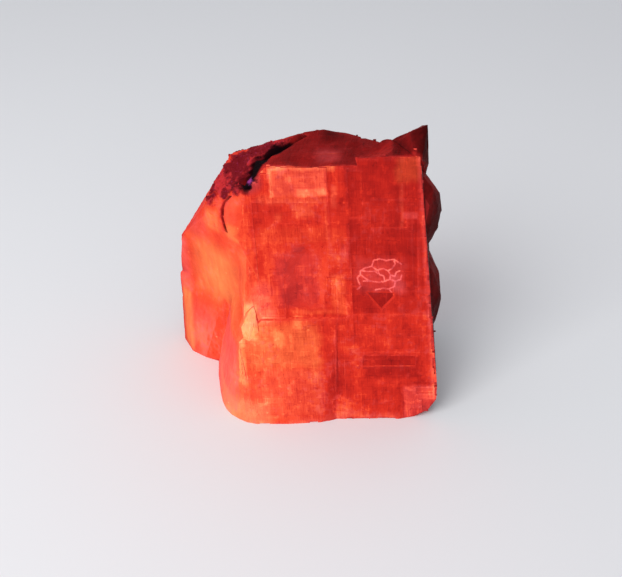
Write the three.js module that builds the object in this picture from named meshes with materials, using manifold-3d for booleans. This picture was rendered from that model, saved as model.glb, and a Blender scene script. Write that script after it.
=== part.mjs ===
// A hand specimen of fluorescent calcite, one solid stone about 55 mm wide and tall. It is split along
// its cleavage at the front, the top and the right, and broken across it at the left and the back.
// Millimetres, +Z up, the front face towards -Y, the origin under the middle of the stone.
//
// The stone is worked from a few big solids and is then chipped. Chips, ledges and recesses are cells
// of the cleavage lattice, so their faces run parallel to the block's own. Where the stone broke
// across its cleavage it has slanting hollows, grooves, scoops and shells instead.
import * as THREE from "three";
import { ConvexGeometry } from "three/addons/geometries/ConvexGeometry.js";
import { mergeVertices } from "three/addons/utils/BufferGeometryUtils.js";
import Module from "manifold-3d";

// The block's own sizes: its top and the higher plate on it, the lower block that stands out at the
// bottom left, and the right edge of the front face at the foot and at the top.
const TOP = 50.4;
const PLATE_TOP = 52;
const LOWER_BLOCK_TOP = 21.4;
const RIGHT_EDGE_LOW = 24.8;
const RIGHT_EDGE_HIGH = 19.4;

// The cleavage lattice as slopes: how far the front face leans back, how far the right side turns
// out towards the back, and how far the upright lines lean to the left.
const LEAN = 0.25;
const SPLAY = 0.21;
const RAKE = 0.06;

// Where the stone's middle lies in the coordinates that the solids are written in.
const MIDDLE_X = -0.5;
const MIDDLE_Y = 16.8;

// Farther out than any point of the stone, and how near two corners are one.
const OUT = 60;
const MERGE = 1e-4;
const GLOW_ORANGE = 0xf0442a;

const wasm = await Module();
wasm.setup();

// The same row of numbers between 0 and 1 on every run.
function randomFrom(seed) {
  let state = seed >>> 0;
  return function next() {
    state = (Math.imul(state, 1664525) + 1013904223) >>> 0;
    return state / 4294967296;
  };
}

// A closed geometry as a solid that can be joined and cut.
function solidFrom(geometry) {
  const bare = geometry.clone();
  bare.deleteAttribute("normal");
  bare.deleteAttribute("uv");
  const merged = mergeVertices(bare, MERGE);
  return new wasm.Manifold(
    new wasm.Mesh({
      numProp: 3,
      vertProperties: merged.getAttribute("position").array,
      triVerts: new Uint32Array(merged.index.array),
    }),
  );
}

// A solid back as a geometry.
function geometryFrom(solid) {
  const mesh = solid.getMesh();
  const geometry = new THREE.BufferGeometry();
  geometry.setAttribute("position", new THREE.BufferAttribute(mesh.vertProperties, 3));
  geometry.setIndex(new THREE.BufferAttribute(mesh.triVerts, 1));
  geometry.computeVertexNormals();
  return geometry;
}

// The convex solid that these corners span.
function hull(corners) {
  return solidFrom(new ConvexGeometry(corners.map((corner) => new THREE.Vector3(...corner))));
}

// A point of the front face, from its place along the face and its height.
function onFront(x, z, behind = 0) {
  return [x, LEAN * z + behind, z];
}

// A point of the lattice: i along the front, j behind the front face, k up.
function latticePoint(i, j, k) {
  return [i + SPLAY * j - RAKE * k, j + LEAN * k, k];
}

// One cell of the lattice between two values of i, j and k.
function cell([i0, i1], [j0, j1], [k0, k1]) {
  const corners = [];
  for (const i of [i0, i1]) {
    for (const j of [j0, j1]) {
      for (const k of [k0, k1]) corners.push(latticePoint(i, j, k));
    }
  }
  return hull(corners);
}

// Breaks a solid off along the plane through three points. What goes is on the side from which
// the points run anticlockwise.
function breakAlong(solid, a, b, c) {
  const plane = new THREE.Plane().setFromCoplanarPoints(
    new THREE.Vector3(...a),
    new THREE.Vector3(...b),
    new THREE.Vector3(...c),
  );
  const cutter = new THREE.BoxGeometry(2 * OUT, 2 * OUT, 2 * OUT)
    .translate(0, 0, OUT)
    .applyQuaternion(new THREE.Quaternion().setFromUnitVectors(new THREE.Vector3(0, 0, 1), plane.normal))
    .translate(...a);
  return solid.subtract(solidFrom(cutter));
}

// A ball of flat facets, squeezed to its size, with its corners pulled in by up to roughness.
function ball([x, y, z], [sizeX, sizeY, sizeZ], roughness, detail, random) {
  const round = new THREE.IcosahedronGeometry(1, detail);
  const bare = mergeVertices(round.deleteAttribute("normal").deleteAttribute("uv"), MERGE);
  const place = bare.getAttribute("position");
  for (let n = 0; n < place.count; n += 1) {
    const corner = new THREE.Vector3().fromBufferAttribute(place, n);
    corner.multiplyScalar(1 - roughness * random());
    place.setXYZ(n, corner.x * sizeX, corner.y * sizeY, corner.z * sizeZ);
  }
  bare.translate(x, y, z);
  return solidFrom(bare);
}

// The main crystal as it was split and broken, before its chips. Its left side is cut back along
// the smooth break.
function mainCrystal() {
  const whole = hull([
    [-8, 0, 0],
    [17.6, 0, 0],
    [20.9, 0.8, 0],
    [24, 3.2, 0],
    [25.7, 6.3, 0],
    [27, 19, 0],
    [23.5, 29, 0],
    [6, 33.5, 0],
    [-14, 35, 0],
    [-26.5, 31.5, 0],
    [-27.8, 25.5, 0],
    onFront(RIGHT_EDGE_LOW, 7.3),
    onFront(RIGHT_EDGE_LOW, 4.4),
    onFront(23.4, 2.2),
    onFront(20.6, 0.9),
    onFront(RIGHT_EDGE_HIGH, TOP),
    onFront(-7.7, TOP),
    onFront(-12, 45.9),
    onFront(-13.1, 36.6),
    [-19, 14, 40.2],
    [-19.9, 15.7, 40.5],
    [-17.7, 19.2, 43.8],
    [-16, 21.4, 46],
    [-13.9, 22.2, 48.1],
    [-9.1, 21.4, 49.4],
    [-5.4, 23.4, 50.1],
    [-1.6, 25.2, TOP],
    [2.6, 26.2, TOP],
    [6.4, 25.4, TOP],
    [9.2, 23.6, TOP],
    [12, 22.2, TOP],
    [19.8, 17, TOP],
    [-25.9, 22.8, 28.9],
    [-27.6, 26.9, 17.1],
    [-22, 33, 22],
    [-12, 31.5, 36],
    [12, 30, 30],
    [23.6, 25, 30],
  ]);
  return breakAlong(whole, onFront(-13.1, 36.6), [-19, 14, 40.2], onFront(-5, 19.4));
}

// The lower block, which stands out in front of the smooth break and carries a tooth at its corner.
function lowerBlock() {
  const block = hull([
    [-4.2, -1.4, 0],
    [-10.9, -1.4, 0],
    [-12.8, -0.9, 0],
    [-14.4, 0, 0],
    [-16, 1.2, 0],
    [-17.2, 2.8, 0],
    [-18.1, 5, 0],
    [-18.7, 7.6, 0],
    [-19.6, 12.9, 0],
    [-20, 19.2, 0],
    [2.6, -0.9, 0],
    [0, 30, 0],
    onFront(-14.2, 3, -0.2),
    onFront(-13.8, 17, -0.3),
    onFront(-9.4, LOWER_BLOCK_TOP, -0.3),
    onFront(5, LOWER_BLOCK_TOP, -0.1),
    onFront(5, 0, -0.1),
    [-16.3, 6.6, 9],
    [-15.2, 8, 18],
    [-15, 14.5, 22],
    [5, 14, 24],
  ]);
  const tooth = hull([
    onFront(-12.9, 18, -0.6),
    onFront(-11.8, 17.6, -0.9),
    onFront(-10, 19.4, -0.8),
    onFront(-10.3, 22.4, -0.5),
    onFront(-10.8, 24.2, -0.2),
    onFront(-12.3, 22.4, 0),
    onFront(-13.3, 20, -0.2),
    [-12, 10.4, 23.4],
    [-14.6, 9, 17],
    [-9, 9, 19],
  ]);
  return block.add(tooth);
}

// The hollow between the tooth and the front face, filled up to a slope that the break left standing.
function slopeBesideTooth() {
  return hull([
    onFront(-3.6, 21.2, 0.1),
    onFront(-10.4, 20.4, 0.1),
    onFront(-12.9, 20.2, 0.8),
    onFront(-9.4, 29.6, 0.15),
    onFront(-11.8, 35, 0.2),
    [-14, 11.2, 24],
    [-13.6, 11.2, 30],
    [-13, 11.2, 36],
    [-5, 12, 20],
    [-8, 14, 32],
  ]);
}

// The foot of the smooth break, which stands on the ground behind the lower block.
function leftFoot() {
  return hull([
    [-19.8, 17, 0],
    [-22.7, 18.2, 0],
    [-25.8, 20.3, 0],
    [-28, 24.4, 0],
    [-26.5, 31.5, 0],
    [-14, 33, 0],
    [0, 12, 0],
    [-17.4, 17, 19],
    [-23.2, 20.6, 12],
    [-27.4, 24.8, 10],
    [-27.7, 26.4, 17.5],
    [-24, 32, 17],
    [0, 12, 22],
  ]);
}

// Two rounded bulges of fracture that stand out of the right side, one over the other. They stay
// behind the front face and above the ground.
function rightBulges(random) {
  const ROUGHNESS = 0.028;
  const DETAIL = 3;
  const upper = ball([8, 18.4, 37.6], [16.9, 9.6, 13.4], ROUGHNESS, DETAIL, random);
  const lower = ball([6, 18, 17], [20.9, 14.5, 20], ROUGHNESS, DETAIL, random);
  const BEHIND_FRONT = 1.2;
  const before = cell([-OUT, OUT], [-OUT, BEHIND_FRONT], [-OUT, OUT]);
  const ground = cell([-OUT, OUT], [-OUT, OUT], [-OUT, 0]);
  return upper.add(lower).subtract(before).subtract(ground);
}

// The higher plate on the right of the top, and the low hump of fracture behind it.
function topPlates() {
  const plate = hull([
    onFront(7.6, PLATE_TOP),
    onFront(RIGHT_EDGE_HIGH - 0.2, PLATE_TOP),
    onFront(8.4, TOP - 1),
    onFront(RIGHT_EDGE_HIGH, TOP - 1),
    [17.4, 19, PLATE_TOP - 0.2],
    [13.4, 20.4, PLATE_TOP - 0.1],
    [10.6, 16.4, PLATE_TOP],
    [18.4, 20.6, TOP - 2],
    [11, 22, TOP - 2],
  ]);
  const hump = hull([
    [-4.8, 19.4, TOP - 0.1],
    [0.6, 17, TOP + 0.1],
    [9.6, 17.8, TOP + 0.1],
    [-1.3, 24.4, TOP + 0.6],
    [2.4, 24.8, TOP + 1],
    [5.6, 24, TOP + 0.7],
    [9.6, 21.8, TOP + 0.3],
    [2.6, 26.6, TOP - 0.4],
    [0, 18, TOP - 4],
    [6, 26, TOP - 4],
  ]);
  return plate.add(hump);
}

// The pointed fin at the top right corner.
function fin() {
  return hull([
    [14.8, 19.6, 52],
    [16.4, 18.4, 53.5],
    [17.6, 17.6, 54.6],
    [20.9, 19.5, 55],
    [20.2, 21.6, 53.8],
    onFront(18.2, PLATE_TOP + 0.2, 0.3),
    onFront(19.5, PLATE_TOP - 0.6, 0.3),
    [21.2, 16.2, 49],
    [21.5, 18, 48.2],
    [21.5, 19.6, 50],
    [21.6, 21, 44],
    [15.8, 21.8, 47.5],
  ]);
}

// A groove that narrows to its foot, along a course on the surface. Across points from one lip to
// the other, and out points away from the stone. Each stretch runs a little into the next.
function groove(course, across, out, width, deep) {
  const MOUTH_HALF = 0.5;
  const FOOT_HALF = 0.125;
  const OPEN_HALF = 1;
  const LIFT = 1.8;
  const OVERLAP = 0.12;
  const side = new THREE.Vector3(...across).normalize();
  const away = new THREE.Vector3(...out).normalize();
  const station = (middle) => {
    const corners = [];
    for (const [half, up] of [[MOUTH_HALF, 0], [OPEN_HALF, LIFT], [FOOT_HALF, -deep]]) {
      for (const sign of [-1, 1]) {
        const corner = middle.clone().addScaledVector(side, sign * half * width);
        corners.push(corner.addScaledVector(away, up).toArray());
      }
    }
    return corners;
  };
  let cut = null;
  for (let n = 0; n + 1 < course.length; n += 1) {
    const from = new THREE.Vector3(...course[n]);
    const to = new THREE.Vector3(...course[n + 1]);
    const along = to.clone().sub(from).setLength(OVERLAP);
    const stretch = hull([...station(from.sub(along)), ...station(to.add(along))]);
    cut = cut === null ? stretch : cut.add(stretch);
  }
  return cut;
}

// The crevice behind the crystal's top left edge, which parts it from the crusted slope.
function crevice() {
  const course = [
    [-12.3, 14.2, 45.4],
    [-10.9, 15.4, 46.9],
    [-8.7, 16.9, 48.5],
    [-7.3, 18.2, 49.6],
    [-5.4, 19.8, 50.2],
    [-3.9, 21.8, 50.4],
    [-1.4, 24, 50.4],
  ];
  return groove(course, [-0.7, 0.7, 0.1], [-0.45, -0.2, 0.87], 1.7, 3.4);
}

// The crooked crack in the striated facet below the crust.
function crack() {
  const course = [
    [-14.6, 12.9, 44.2],
    [-15.6, 13, 42.9],
    [-16.2, 12.8, 41.5],
    [-16.3, 12.3, 40.2],
    [-15.9, 11.8, 38.9],
    [-15.4, 11.3, 37.5],
  ];
  return groove(course, [0.85, -0.5, 0], [-0.51, -0.81, 0.27], 0.6, 1);
}

// Recesses in the front face, each a thin layer that has split off between two places along the
// front, i, and two up it, k. Deep is how deep the layer goes.
const FRONT_RECESSES = [
  { i: [9.3, 27], k: [22.4, 53], deep: 0.3 },
  { i: [9.3, 27], k: [14.6, 23.1], deep: 0.16 },
  { i: [-8, 9.3], k: [22, 43.9], deep: 0.2 },
  { i: [5.7, 9.3], k: [36.4, 51], deep: 0.24 },
  { i: [-3.4, 6.2], k: [21.6, 29.8], deep: 0.5 },
  { i: [4.4, 8], k: [21.6, 26.4], deep: 0.4 },
  { i: [10.8, 21], k: [11.6, 13.8], deep: 0.24 },
  { i: [13.2, 19.6], k: [39.2, 44.2], deep: 0.4 },
  { i: [20.8, 21.6], k: [27, 41], deep: 0.36 },
  { i: [9.3, 11.6], k: [41.2, 49.4], deep: 0.4 },
  { i: [-6.2, -5.4], k: [42.4, 49], deep: 0.24 },
  { i: [-0.6, 3.4], k: [46.6, 48.4], deep: 0.12 },
  { i: [4.6, 7.4], k: [1.6, 4.4], deep: 0.12 },
];

// The stacked ledges at the lower right corner.
const CORNER_LEDGES = [
  { i: [20.6, 27], k: [7.3, 8.2], deep: 0.12 },
  { i: [18.4, 27], k: [-1, 6.2], deep: 0.16 },
  { i: [21.1, 24.4], k: [5.6, 6.9], deep: 0.34 },
  { i: [22.2, 27], k: [-1, 4.3], deep: 0.38 },
  { i: [19.9, 27], k: [-1, 2.4], deep: 0.3 },
];

// A layer off the front face. It reaches well out in front of it.
function frontCell({ i, k, deep }) {
  const IN_FRONT = -3;
  return cell(i, [IN_FRONT, deep], k);
}

// A hollow with slanting walls in the front face. The mouth is its outline in front of the face and
// the floor its outline at its depth, both as places along the face and heights.
function slantingHollow(mouth, floor, deep) {
  const IN_FRONT = -0.6;
  return hull([
    ...mouth.map(([x, z]) => onFront(x, z, IN_FRONT)),
    ...floor.map(([x, z]) => onFront(x, z, deep)),
  ]);
}

// The large hollow over the lower block, where layers have split off unevenly.
function largeHollow() {
  const MOUTH = [
    [-7.6, 24.4],
    [-5.6, 21.3],
    [4.6, 21.3],
    [4.4, 36],
    [1.2, 38.8],
    [-3.6, 38],
    [-7.4, 34],
  ];
  const FLOOR = [
    [-2.6, 25],
    [1.6, 24],
    [2, 33],
    [-0.6, 34.6],
    [-3, 31.6],
  ];
  return slantingHollow(MOUTH, FLOOR, 1);
}

// The dark pit like a triangle on its point, under the net of cracks on the right of the front.
function trianglePit() {
  const MOUTH = [
    [8.7, 27.4],
    [10.4, 28.4],
    [16.6, 28],
    [16.7, 25.6],
    [13.3, 21.5],
  ];
  const FLOOR = [
    [10.6, 26.5],
    [15.4, 26.4],
    [15.4, 25.8],
    [13.3, 23.4],
  ];
  return slantingHollow(MOUTH, FLOOR, 0.55);
}

// Shallow scoops of fracture in the top.
function topScoops(random) {
  const ROUGHNESS = 0.006;
  const DETAIL = 6;
  return [
    ball([3.4, 20.6, 56], [5.6, 4.6, 5.3], ROUGHNESS, DETAIL, random),
    ball([-0.4, 14.6, 60.1], [15, 8.4, 10.2], ROUGHNESS, DETAIL, random),
    ball([9.4, 18.2, 60.3], [10, 9, 10.2], ROUGHNESS, DETAIL, random),
  ];
}

// A number between low and high.
function between(low, high, share) {
  return low + (high - low) * share;
}

// Small chips along an edge between two points, each a cell that opens outwards. Reach gives how
// far a chip may go along i, j and k.
function edgeChips(from, to, count, reach, random) {
  const LEAST = 0.35;
  const FIRST = 0.15;
  const LAST = 0.85;
  const chips = [];
  for (let n = 0; n < count; n += 1) {
    const share = (n + between(FIRST, LAST, random())) / count;
    const [x, y, z] = from.map((value, axis) => between(value, to[axis], share));
    const k = z;
    const j = y - LEAN * z;
    const i = x - SPLAY * j + RAKE * k;
    const [di, dj, dk] = reach.map((value) => value * between(LEAST, 1, random()));
    chips.push(cell([i - di, i + di], [j - dj, j + dj], [k - dk, k + dk]));
  }
  return chips;
}

// How far back the back reaches before its terraces. It leans in with height and bows away from
// its middle.
function backSurface(i, k) {
  const REACH = 33.6;
  const RISE = 0.155;
  const BOW = 0.006;
  const MIDDLE = -6;
  return REACH - RISE * k - BOW * (i - MIDDLE) * (i - MIDDLE) - LEAN * k;
}

// Terraces over the back, each running off one side of it and over the top, and smaller notches
// that break their edges up.
function backTerraces(random) {
  const TERRACES = 11;
  const FIRST_HEIGHT = 3;
  const TERRACE_HEIGHT = 4.4;
  const UNEVEN = 2;
  const TERRACE_SPAN = [-30, 16];
  const TERRACE_DEPTH = [0.4, 2.8];
  const NOTCHES = 30;
  const NOTCH_SPAN = [-34, 16];
  const NOTCH_HEIGHTS = [-1, 45];
  const NOTCH_WIDTH = [4, 17];
  const NOTCH_HEIGHT = [3, 15];
  const NOTCH_DEPTH = [0.7, 2.9];
  const cuts = [];
  for (let n = 0; n < TERRACES; n += 1) {
    const k = FIRST_HEIGHT + TERRACE_HEIGHT * n + UNEVEN * random();
    const i = between(...TERRACE_SPAN, random());
    const depth = backSurface(i, k) - between(...TERRACE_DEPTH, random());
    const toRight = random() > 0.5;
    cuts.push(cell(toRight ? [i, OUT] : [-OUT, i], [depth, OUT], [k, OUT]));
  }
  for (let n = 0; n < NOTCHES; n += 1) {
    const i = between(...NOTCH_SPAN, random());
    const k = between(...NOTCH_HEIGHTS, random());
    const wide = between(...NOTCH_WIDTH, random() * random());
    const high = between(...NOTCH_HEIGHT, random() * random());
    const depth = backSurface(i + wide / 2, k + high / 2) - between(...NOTCH_DEPTH, random());
    cuts.push(cell([i, i + wide], [depth, OUT], [k, k + high]));
  }
  return cuts;
}

// Ledges down the right side, along its front edge.
function sideLedges(random) {
  const LEDGES = 14;
  const SIDE = 24.5;
  const DRAWN_IN = 0.038;
  const UNEVEN = [-0.49, 0.91];
  const PLACES = [0.4, 4.6];
  const HEIGHTS = [-1, 49];
  const LONG = [1.2, 3.2];
  const HIGH = [1.4, 10.4];
  const cuts = [];
  for (let n = 0; n < LEDGES; n += 1) {
    const j = between(...PLACES, random());
    const k = between(...HEIGHTS, random());
    const long = between(...LONG, random());
    const high = between(...HIGH, random() * random());
    const side = SIDE - DRAWN_IN * (k + high / 2) + between(...UNEVEN, random());
    cuts.push(cell([side, OUT], [j, j + long], [k, k + high]));
  }
  return cuts;
}

// The rough dark crust on the slope behind the crevice, as lumps grown onto it.
function crustLumps(random) {
  const lowLeft = new THREE.Vector3(-18.6, 15, 41.4);
  const lowRight = new THREE.Vector3(-12.6, 12.6, 45.3);
  const highLeft = new THREE.Vector3(-14.2, 20.8, 47.5);
  const highRight = new THREE.Vector3(-6.6, 21.2, 49.8);
  const ROWS = 7;
  const COLUMNS = 6;
  const ROUGHNESS = 0.3;
  const SIZE = [1, 2.1];
  const FLATNESS = [0.55, 0.9];
  const lumps = [];
  for (let row = 0; row < ROWS; row += 1) {
    for (let column = 0; column < COLUMNS; column += 1) {
      const up = (row + random()) / ROWS;
      const across = (column + random()) / COLUMNS;
      const left = lowLeft.clone().lerp(highLeft, up);
      const place = left.lerp(lowRight.clone().lerp(highRight, up), across);
      const size = between(...SIZE, random());
      const flat = between(...FLATNESS, random());
      lumps.push(ball(place.toArray(), [size, size, size * flat], ROUGHNESS, 0, random));
    }
  }
  return lumps;
}

// Shallow shells of fracture, where the stone broke across its cleavage.
function shells(random) {
  const ROUGHNESS = 0.02;
  const DETAIL = 4;
  return [
    ball([-34.8, 37.2, 22], [15, 14, 16], ROUGHNESS, DETAIL, random),
    ball([-12.3, 41.8, 40.3], [17, 16, 15], ROUGHNESS, DETAIL, random),
    ball([19.9, 38.4, 23], [14, 13, 12], ROUGHNESS, DETAIL, random),
  ];
}

// The chips along the stone's edges.
function allEdgeChips(random) {
  const topLeft = onFront(-7.7, TOP);
  const stepFoot = onFront(7.6, TOP);
  const stepHead = onFront(7.6, PLATE_TOP);
  const topRight = onFront(RIGHT_EDGE_HIGH, PLATE_TOP);
  return [
    ...edgeChips(topLeft, stepFoot, 9, [1.3, 0.4, 0.3], random),
    ...edgeChips(stepHead, topRight, 8, [1, 0.5, 0.32], random),
    ...edgeChips(onFront(RIGHT_EDGE_LOW, 5), topRight, 22, [0.4, 0.7, 1.4], random),
    ...edgeChips(onFront(-12, 45.9), topLeft, 6, [0.6, 0.5, 0.5], random),
    ...edgeChips([-11, -1.3, 0], [4, -0.8, 0], 7, [1.2, 0.3, 0.35], random),
    ...edgeChips([7, -0.1, 0], [17, 0, 0], 6, [1.2, 0.3, 0.35], random),
  ];
}

// The whole stone: grown together, terraced at the back, crusted, and then recessed and chipped.
function stone() {
  const main = mainCrystal().add(leftFoot()).add(topPlates());
  let solid = main.add(rightBulges(randomFrom(9)));
  for (const terrace of backTerraces(randomFrom(11))) solid = solid.subtract(terrace);
  solid = solid.add(lowerBlock()).add(slopeBesideTooth()).add(fin());
  for (const shell of shells(randomFrom(7))) solid = solid.subtract(shell);
  for (const bump of crustLumps(randomFrom(3))) solid = solid.add(bump);
  const cuts = [
    crevice(),
    crack(),
    largeHollow(),
    trianglePit(),
    ...topScoops(randomFrom(13)),
    ...FRONT_RECESSES.map(frontCell),
    ...CORNER_LEDGES.map(frontCell),
    ...allEdgeChips(randomFrom(2)),
    ...sideLedges(randomFrom(5)),
  ];
  for (const cut of cuts) solid = solid.subtract(cut);
  return solid;
}

const geometry = geometryFrom(stone());
geometry.translate(-MIDDLE_X, -MIDDLE_Y, 0);

const calcite = new THREE.Mesh(
  geometry,
  new THREE.MeshStandardMaterial({ color: GLOW_ORANGE, roughness: 0.35, metalness: 0 }),
);
calcite.name = "calcite_block";

const specimen = new THREE.Group();
specimen.add(calcite);
export default specimen;
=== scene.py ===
"""A standing block of fluorescent calcite, glowing orange-red as under an ultraviolet lamp.

The stone is the solid of the frame, cut along its cleavage and worked with thin terraces, relief on
its broken faces, flakes and a grained dark crust. Its glow is worked out on the mesh, from where the
ultraviolet reaches: the light and shadows of an ultraviolet lamp that isn't in the scene are painted
into it, and so is shade in hollows and in the crevice. A procedural material colours it, adds painted
highlights and glints, and gives the colour off as light, so the stone glows though it is no lamp.
"""

import math
from collections import namedtuple

import bmesh
import bpy
import numpy as np
from bpy.props import FloatProperty, FloatVectorProperty, IntProperty, PointerProperty
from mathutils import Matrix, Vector
from mathutils.bvhtree import BVHTree
from mathutils.kdtree import KDTree


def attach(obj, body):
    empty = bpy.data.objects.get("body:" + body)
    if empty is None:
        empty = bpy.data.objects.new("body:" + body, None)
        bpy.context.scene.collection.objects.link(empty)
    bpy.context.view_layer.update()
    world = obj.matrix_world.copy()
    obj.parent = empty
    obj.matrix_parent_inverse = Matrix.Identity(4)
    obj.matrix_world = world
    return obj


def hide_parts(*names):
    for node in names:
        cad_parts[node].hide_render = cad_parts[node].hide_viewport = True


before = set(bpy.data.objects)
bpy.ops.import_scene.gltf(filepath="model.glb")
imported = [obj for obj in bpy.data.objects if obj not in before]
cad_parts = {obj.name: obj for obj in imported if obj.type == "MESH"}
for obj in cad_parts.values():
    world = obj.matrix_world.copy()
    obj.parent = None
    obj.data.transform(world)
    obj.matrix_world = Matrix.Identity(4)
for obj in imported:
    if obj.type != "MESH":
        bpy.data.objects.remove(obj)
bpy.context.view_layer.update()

bl_info = {
    "name": "Fluorescent calcite",
    "version": (1, 0, 0),
    "blender": (4, 5, 0),
    "location": "3D View > Sidebar > Calcite",
    "description": "Builds a glowing cleavage block of calcite on a plain stage",
    "category": "Add Mesh",
}

NODE = "calcite_block"
BODY = "root"

# Sizes below are in millimetres, in the coordinates that the stone's solid was drawn in.
MM = 0.001
MIDDLE = np.array([-0.5, 16.8, 0.0])

# The cleavage lattice as slopes: the front's lean, the right side's splay and the uprights' rake.
LEAN = 0.25
SPLAY = 0.21
RAKE = 0.06
ALONG = np.array([1.0, 0.0, 0.0])
BEHIND = np.array([SPLAY, 1.0, 0.0])
UPRIGHT = np.array([-RAKE, LEAN, 1.0])

# Each sort of cleavage face: its outward direction, the two lattice axes that lie in it, the way a
# layer that has split off leads into the stone, the steps between its lines, and how much deeper its
# layers are than the front's.
Sheet = namedtuple("Sheet", "name outward axes inward steps relief seed")


def unit(vector):
    """The vector at length 1."""
    return vector / np.linalg.norm(vector)


FRONT_NORMAL = unit(np.cross(ALONG, UPRIGHT))
SIDE_NORMAL = unit(np.cross(BEHIND, UPRIGHT))
SHEETS = (
    Sheet("front", FRONT_NORMAL, (0, 2), BEHIND, ((0.9, 3.4), (1.1, 4.0)), 1.0, 21),
    Sheet("back", -FRONT_NORMAL, (0, 2), -BEHIND, ((1.6, 5.0), (1.6, 5.5)), 1.7, 22),
    Sheet("right", SIDE_NORMAL, (1, 2), -ALONG, ((1.5, 5.0), (1.5, 5.5)), 1.4, 23),
    Sheet("left", -SIDE_NORMAL, (1, 2), ALONG, ((1.5, 5.0), (1.5, 5.5)), 1.4, 24),
    Sheet("top", np.array([0.0, 0.0, 1.0]), (0, 1), -UPRIGHT, ((1.2, 4.0), (1.1, 3.6)), 0.7, 25),
)
LATTICE_LOW = np.array([-40.0, -4.0, -2.0])
LATTICE_HIGH = np.array([32.0, 36.0, 57.0])
LINE_CROWDING = 1.8
SAME_FACE = 0.985
STEP_WALL = 0.14

# The terraces: how many layers have split off a face, how far one reaches at most, how strongly small
# ones outnumber large ones, how thick one is, and how deep they go together.
TERRACES = 80
TERRACE_REACH = 0.34
TERRACE_CROWDING = 2.2
TERRACE_LAYERS = (0.012, 0.025, 0.05)
TERRACE_DEEPEST = 0.17
TERRACE_SEED = 100

# Above the foot, the relief begins between these heights.
FOOT_ENDS = (0.6, 1.4)

# The mesh: the merging of doubles, in metres, the angle under which two faces are one plane, the angle
# of a sharp edge, and how far a broken face has to look to the front, up or left to be in view.
MERGE = 2e-7
FLAT_ANGLE = math.radians(0.15)
CREASE = math.radians(24)
LOOKS_FRONT = 0.2
LOOKS_UP = 0.5
LOOKS_LEFT = 0.5
LOOKS_DOWN = 0.98
CHIPPED_TURN = (0.25, 0.8)

# The relief's stretch on the broken faces, and the grains and flakes: how many to the square metre and
# how large, as shares of their settings.
BREAK_STRETCH = (1 / MM, 1 / MM, 0.42 / MM)
GRAIN_DENSITY = 3.6e6
GRAIN_SMALLEST = (0.35, 0.35, 0.25)
GRAIN_LARGEST = (1.3, 1.0, 0.8)
FLAKE_DENSITY = 1.7e5
FLAKE_SMALLEST = (0.3, 0.1, 0.3)
FLAKE_LARGEST = (1.3, 0.24, 1.7)

# The crevice in front of the rough dark crust, and the way from it to the crust.
CREVICE = np.array([
    [-12.3, 14.2, 45.4],
    [-10.9, 15.4, 46.9],
    [-8.7, 16.9, 48.5],
    [-7.3, 18.2, 49.6],
    [-5.4, 19.8, 50.2],
    [-3.9, 21.8, 50.4],
    [-1.4, 24.0, 50.4],
])
CREVICE_SIDE = unit(np.array([-0.7, 0.7, 0.1]))
CREVICE_MIDDLE = CREVICE[3]
CREVICE_REACH = 3.0

# The crust: its lower edge on the slope as x, height and rise, how far it wraps round the crevice's
# lower end, where it ends at the back and at the right, and how far behind the crevice it starts.
CRUST_EDGE = (-16.2, 43.3, 0.52)
CRUST_WRAP = (-10.6, 2.4, 2.2)
CRUST_BACK = 23.5
CRUST_RIGHT = -3.4
CRUST_GAP = 0.6
CRUST_FADE = (-0.1, 0.7)

# The lit rims of the crust, and the violet glint at the crevice's lower end.
LIT_RIM = np.array([[-15.3, 20.3, 47.2], [-13.8, 20.9, 48.35], [-12.2, 21.6, 48.7]])
RED_RIM = np.array([[-9.6, 20.6, 49.4], [-5.2, 23.3, 50.2]])
VIOLET_SPOT = np.array([-10.9, 12.7, 47.4])

# The crooked crack in the facet under the crust, and the way that the facet looks.
CROOKED_CRACK = np.array([
    [-14.6, 12.9, 44.2],
    [-15.6, 13.0, 42.9],
    [-16.2, 12.8, 41.5],
    [-16.3, 12.3, 40.2],
    [-15.9, 11.8, 38.9],
    [-15.4, 11.3, 37.5],
])
FACET_OUTWARD = unit(np.array([-0.51, -0.81, 0.27]))
CROOKED_REACH = 2.5
CROOKED_FINE = 0.8

# The front's right edge, along the lattice at a height, and how it leads in with height.
RIGHT_EDGE = (25.0, 4.4, 0.058)

# Uneven edges, as sines of (height, rate, shift).
SWAY_ALONG = ((0.3, 1.3, 0.7), (0.16, 3.7, 0.0))
SWAY_UP = ((0.3, 1.1, 0.0), (0.16, 4.1, 1.9))
CRUST_SWAY_X = ((0.35, 2.3, 0.0),)
CRUST_SWAY_Y = ((0.25, 5.1, 1.0),)
CREVICE_SWAY_X = ((0.22, 2.1, 1.0),)
CREVICE_SWAY_Z = ((0.16, 5.7, 0.0),)

# The ultraviolet lamp whose light and shadows are painted into the stone's glow, low at the front left,
# and a weak one behind that paints light on the faces that look back. Neither is a lamp in the scene.
LAMP = np.array([-78.0, -84.0, 16.0])
LAMP_SIZE = 26.0
LAMP_RAYS = 8
LAMP_LIFT = 1.3
LAMP_GLOW = 0.93
LAMP_NEAR = 105.0
LAMP_FALLING = 1.5
BACK_LAMP = unit(np.array([-0.4, 0.9, 0.05]))

# How far the light wraps round the stone, how much of a shadow stays lit, and how much the smoothed
# form counts against the surface itself, for the lamp and for the weak one behind.
WRAP = 0.35
SHADOW_GLOW = 0.3
DEEP_SHARE = 0.82
BACK_DEEP_SHARE = 0.3
DEPTH_ROUNDS = 14
SHADOW_ROUNDS = 10

# How hollows are felt for, and how much painted shade they put on the glow from inside and from behind.
HOLLOW_RAYS = 10
HOLLOW_REACH = 5.0
HOLLOW_LIFT = 0.25
HOLLOW_DIMS = 0.5
HOLLOW_DIMS_BACK = 0.6
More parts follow.
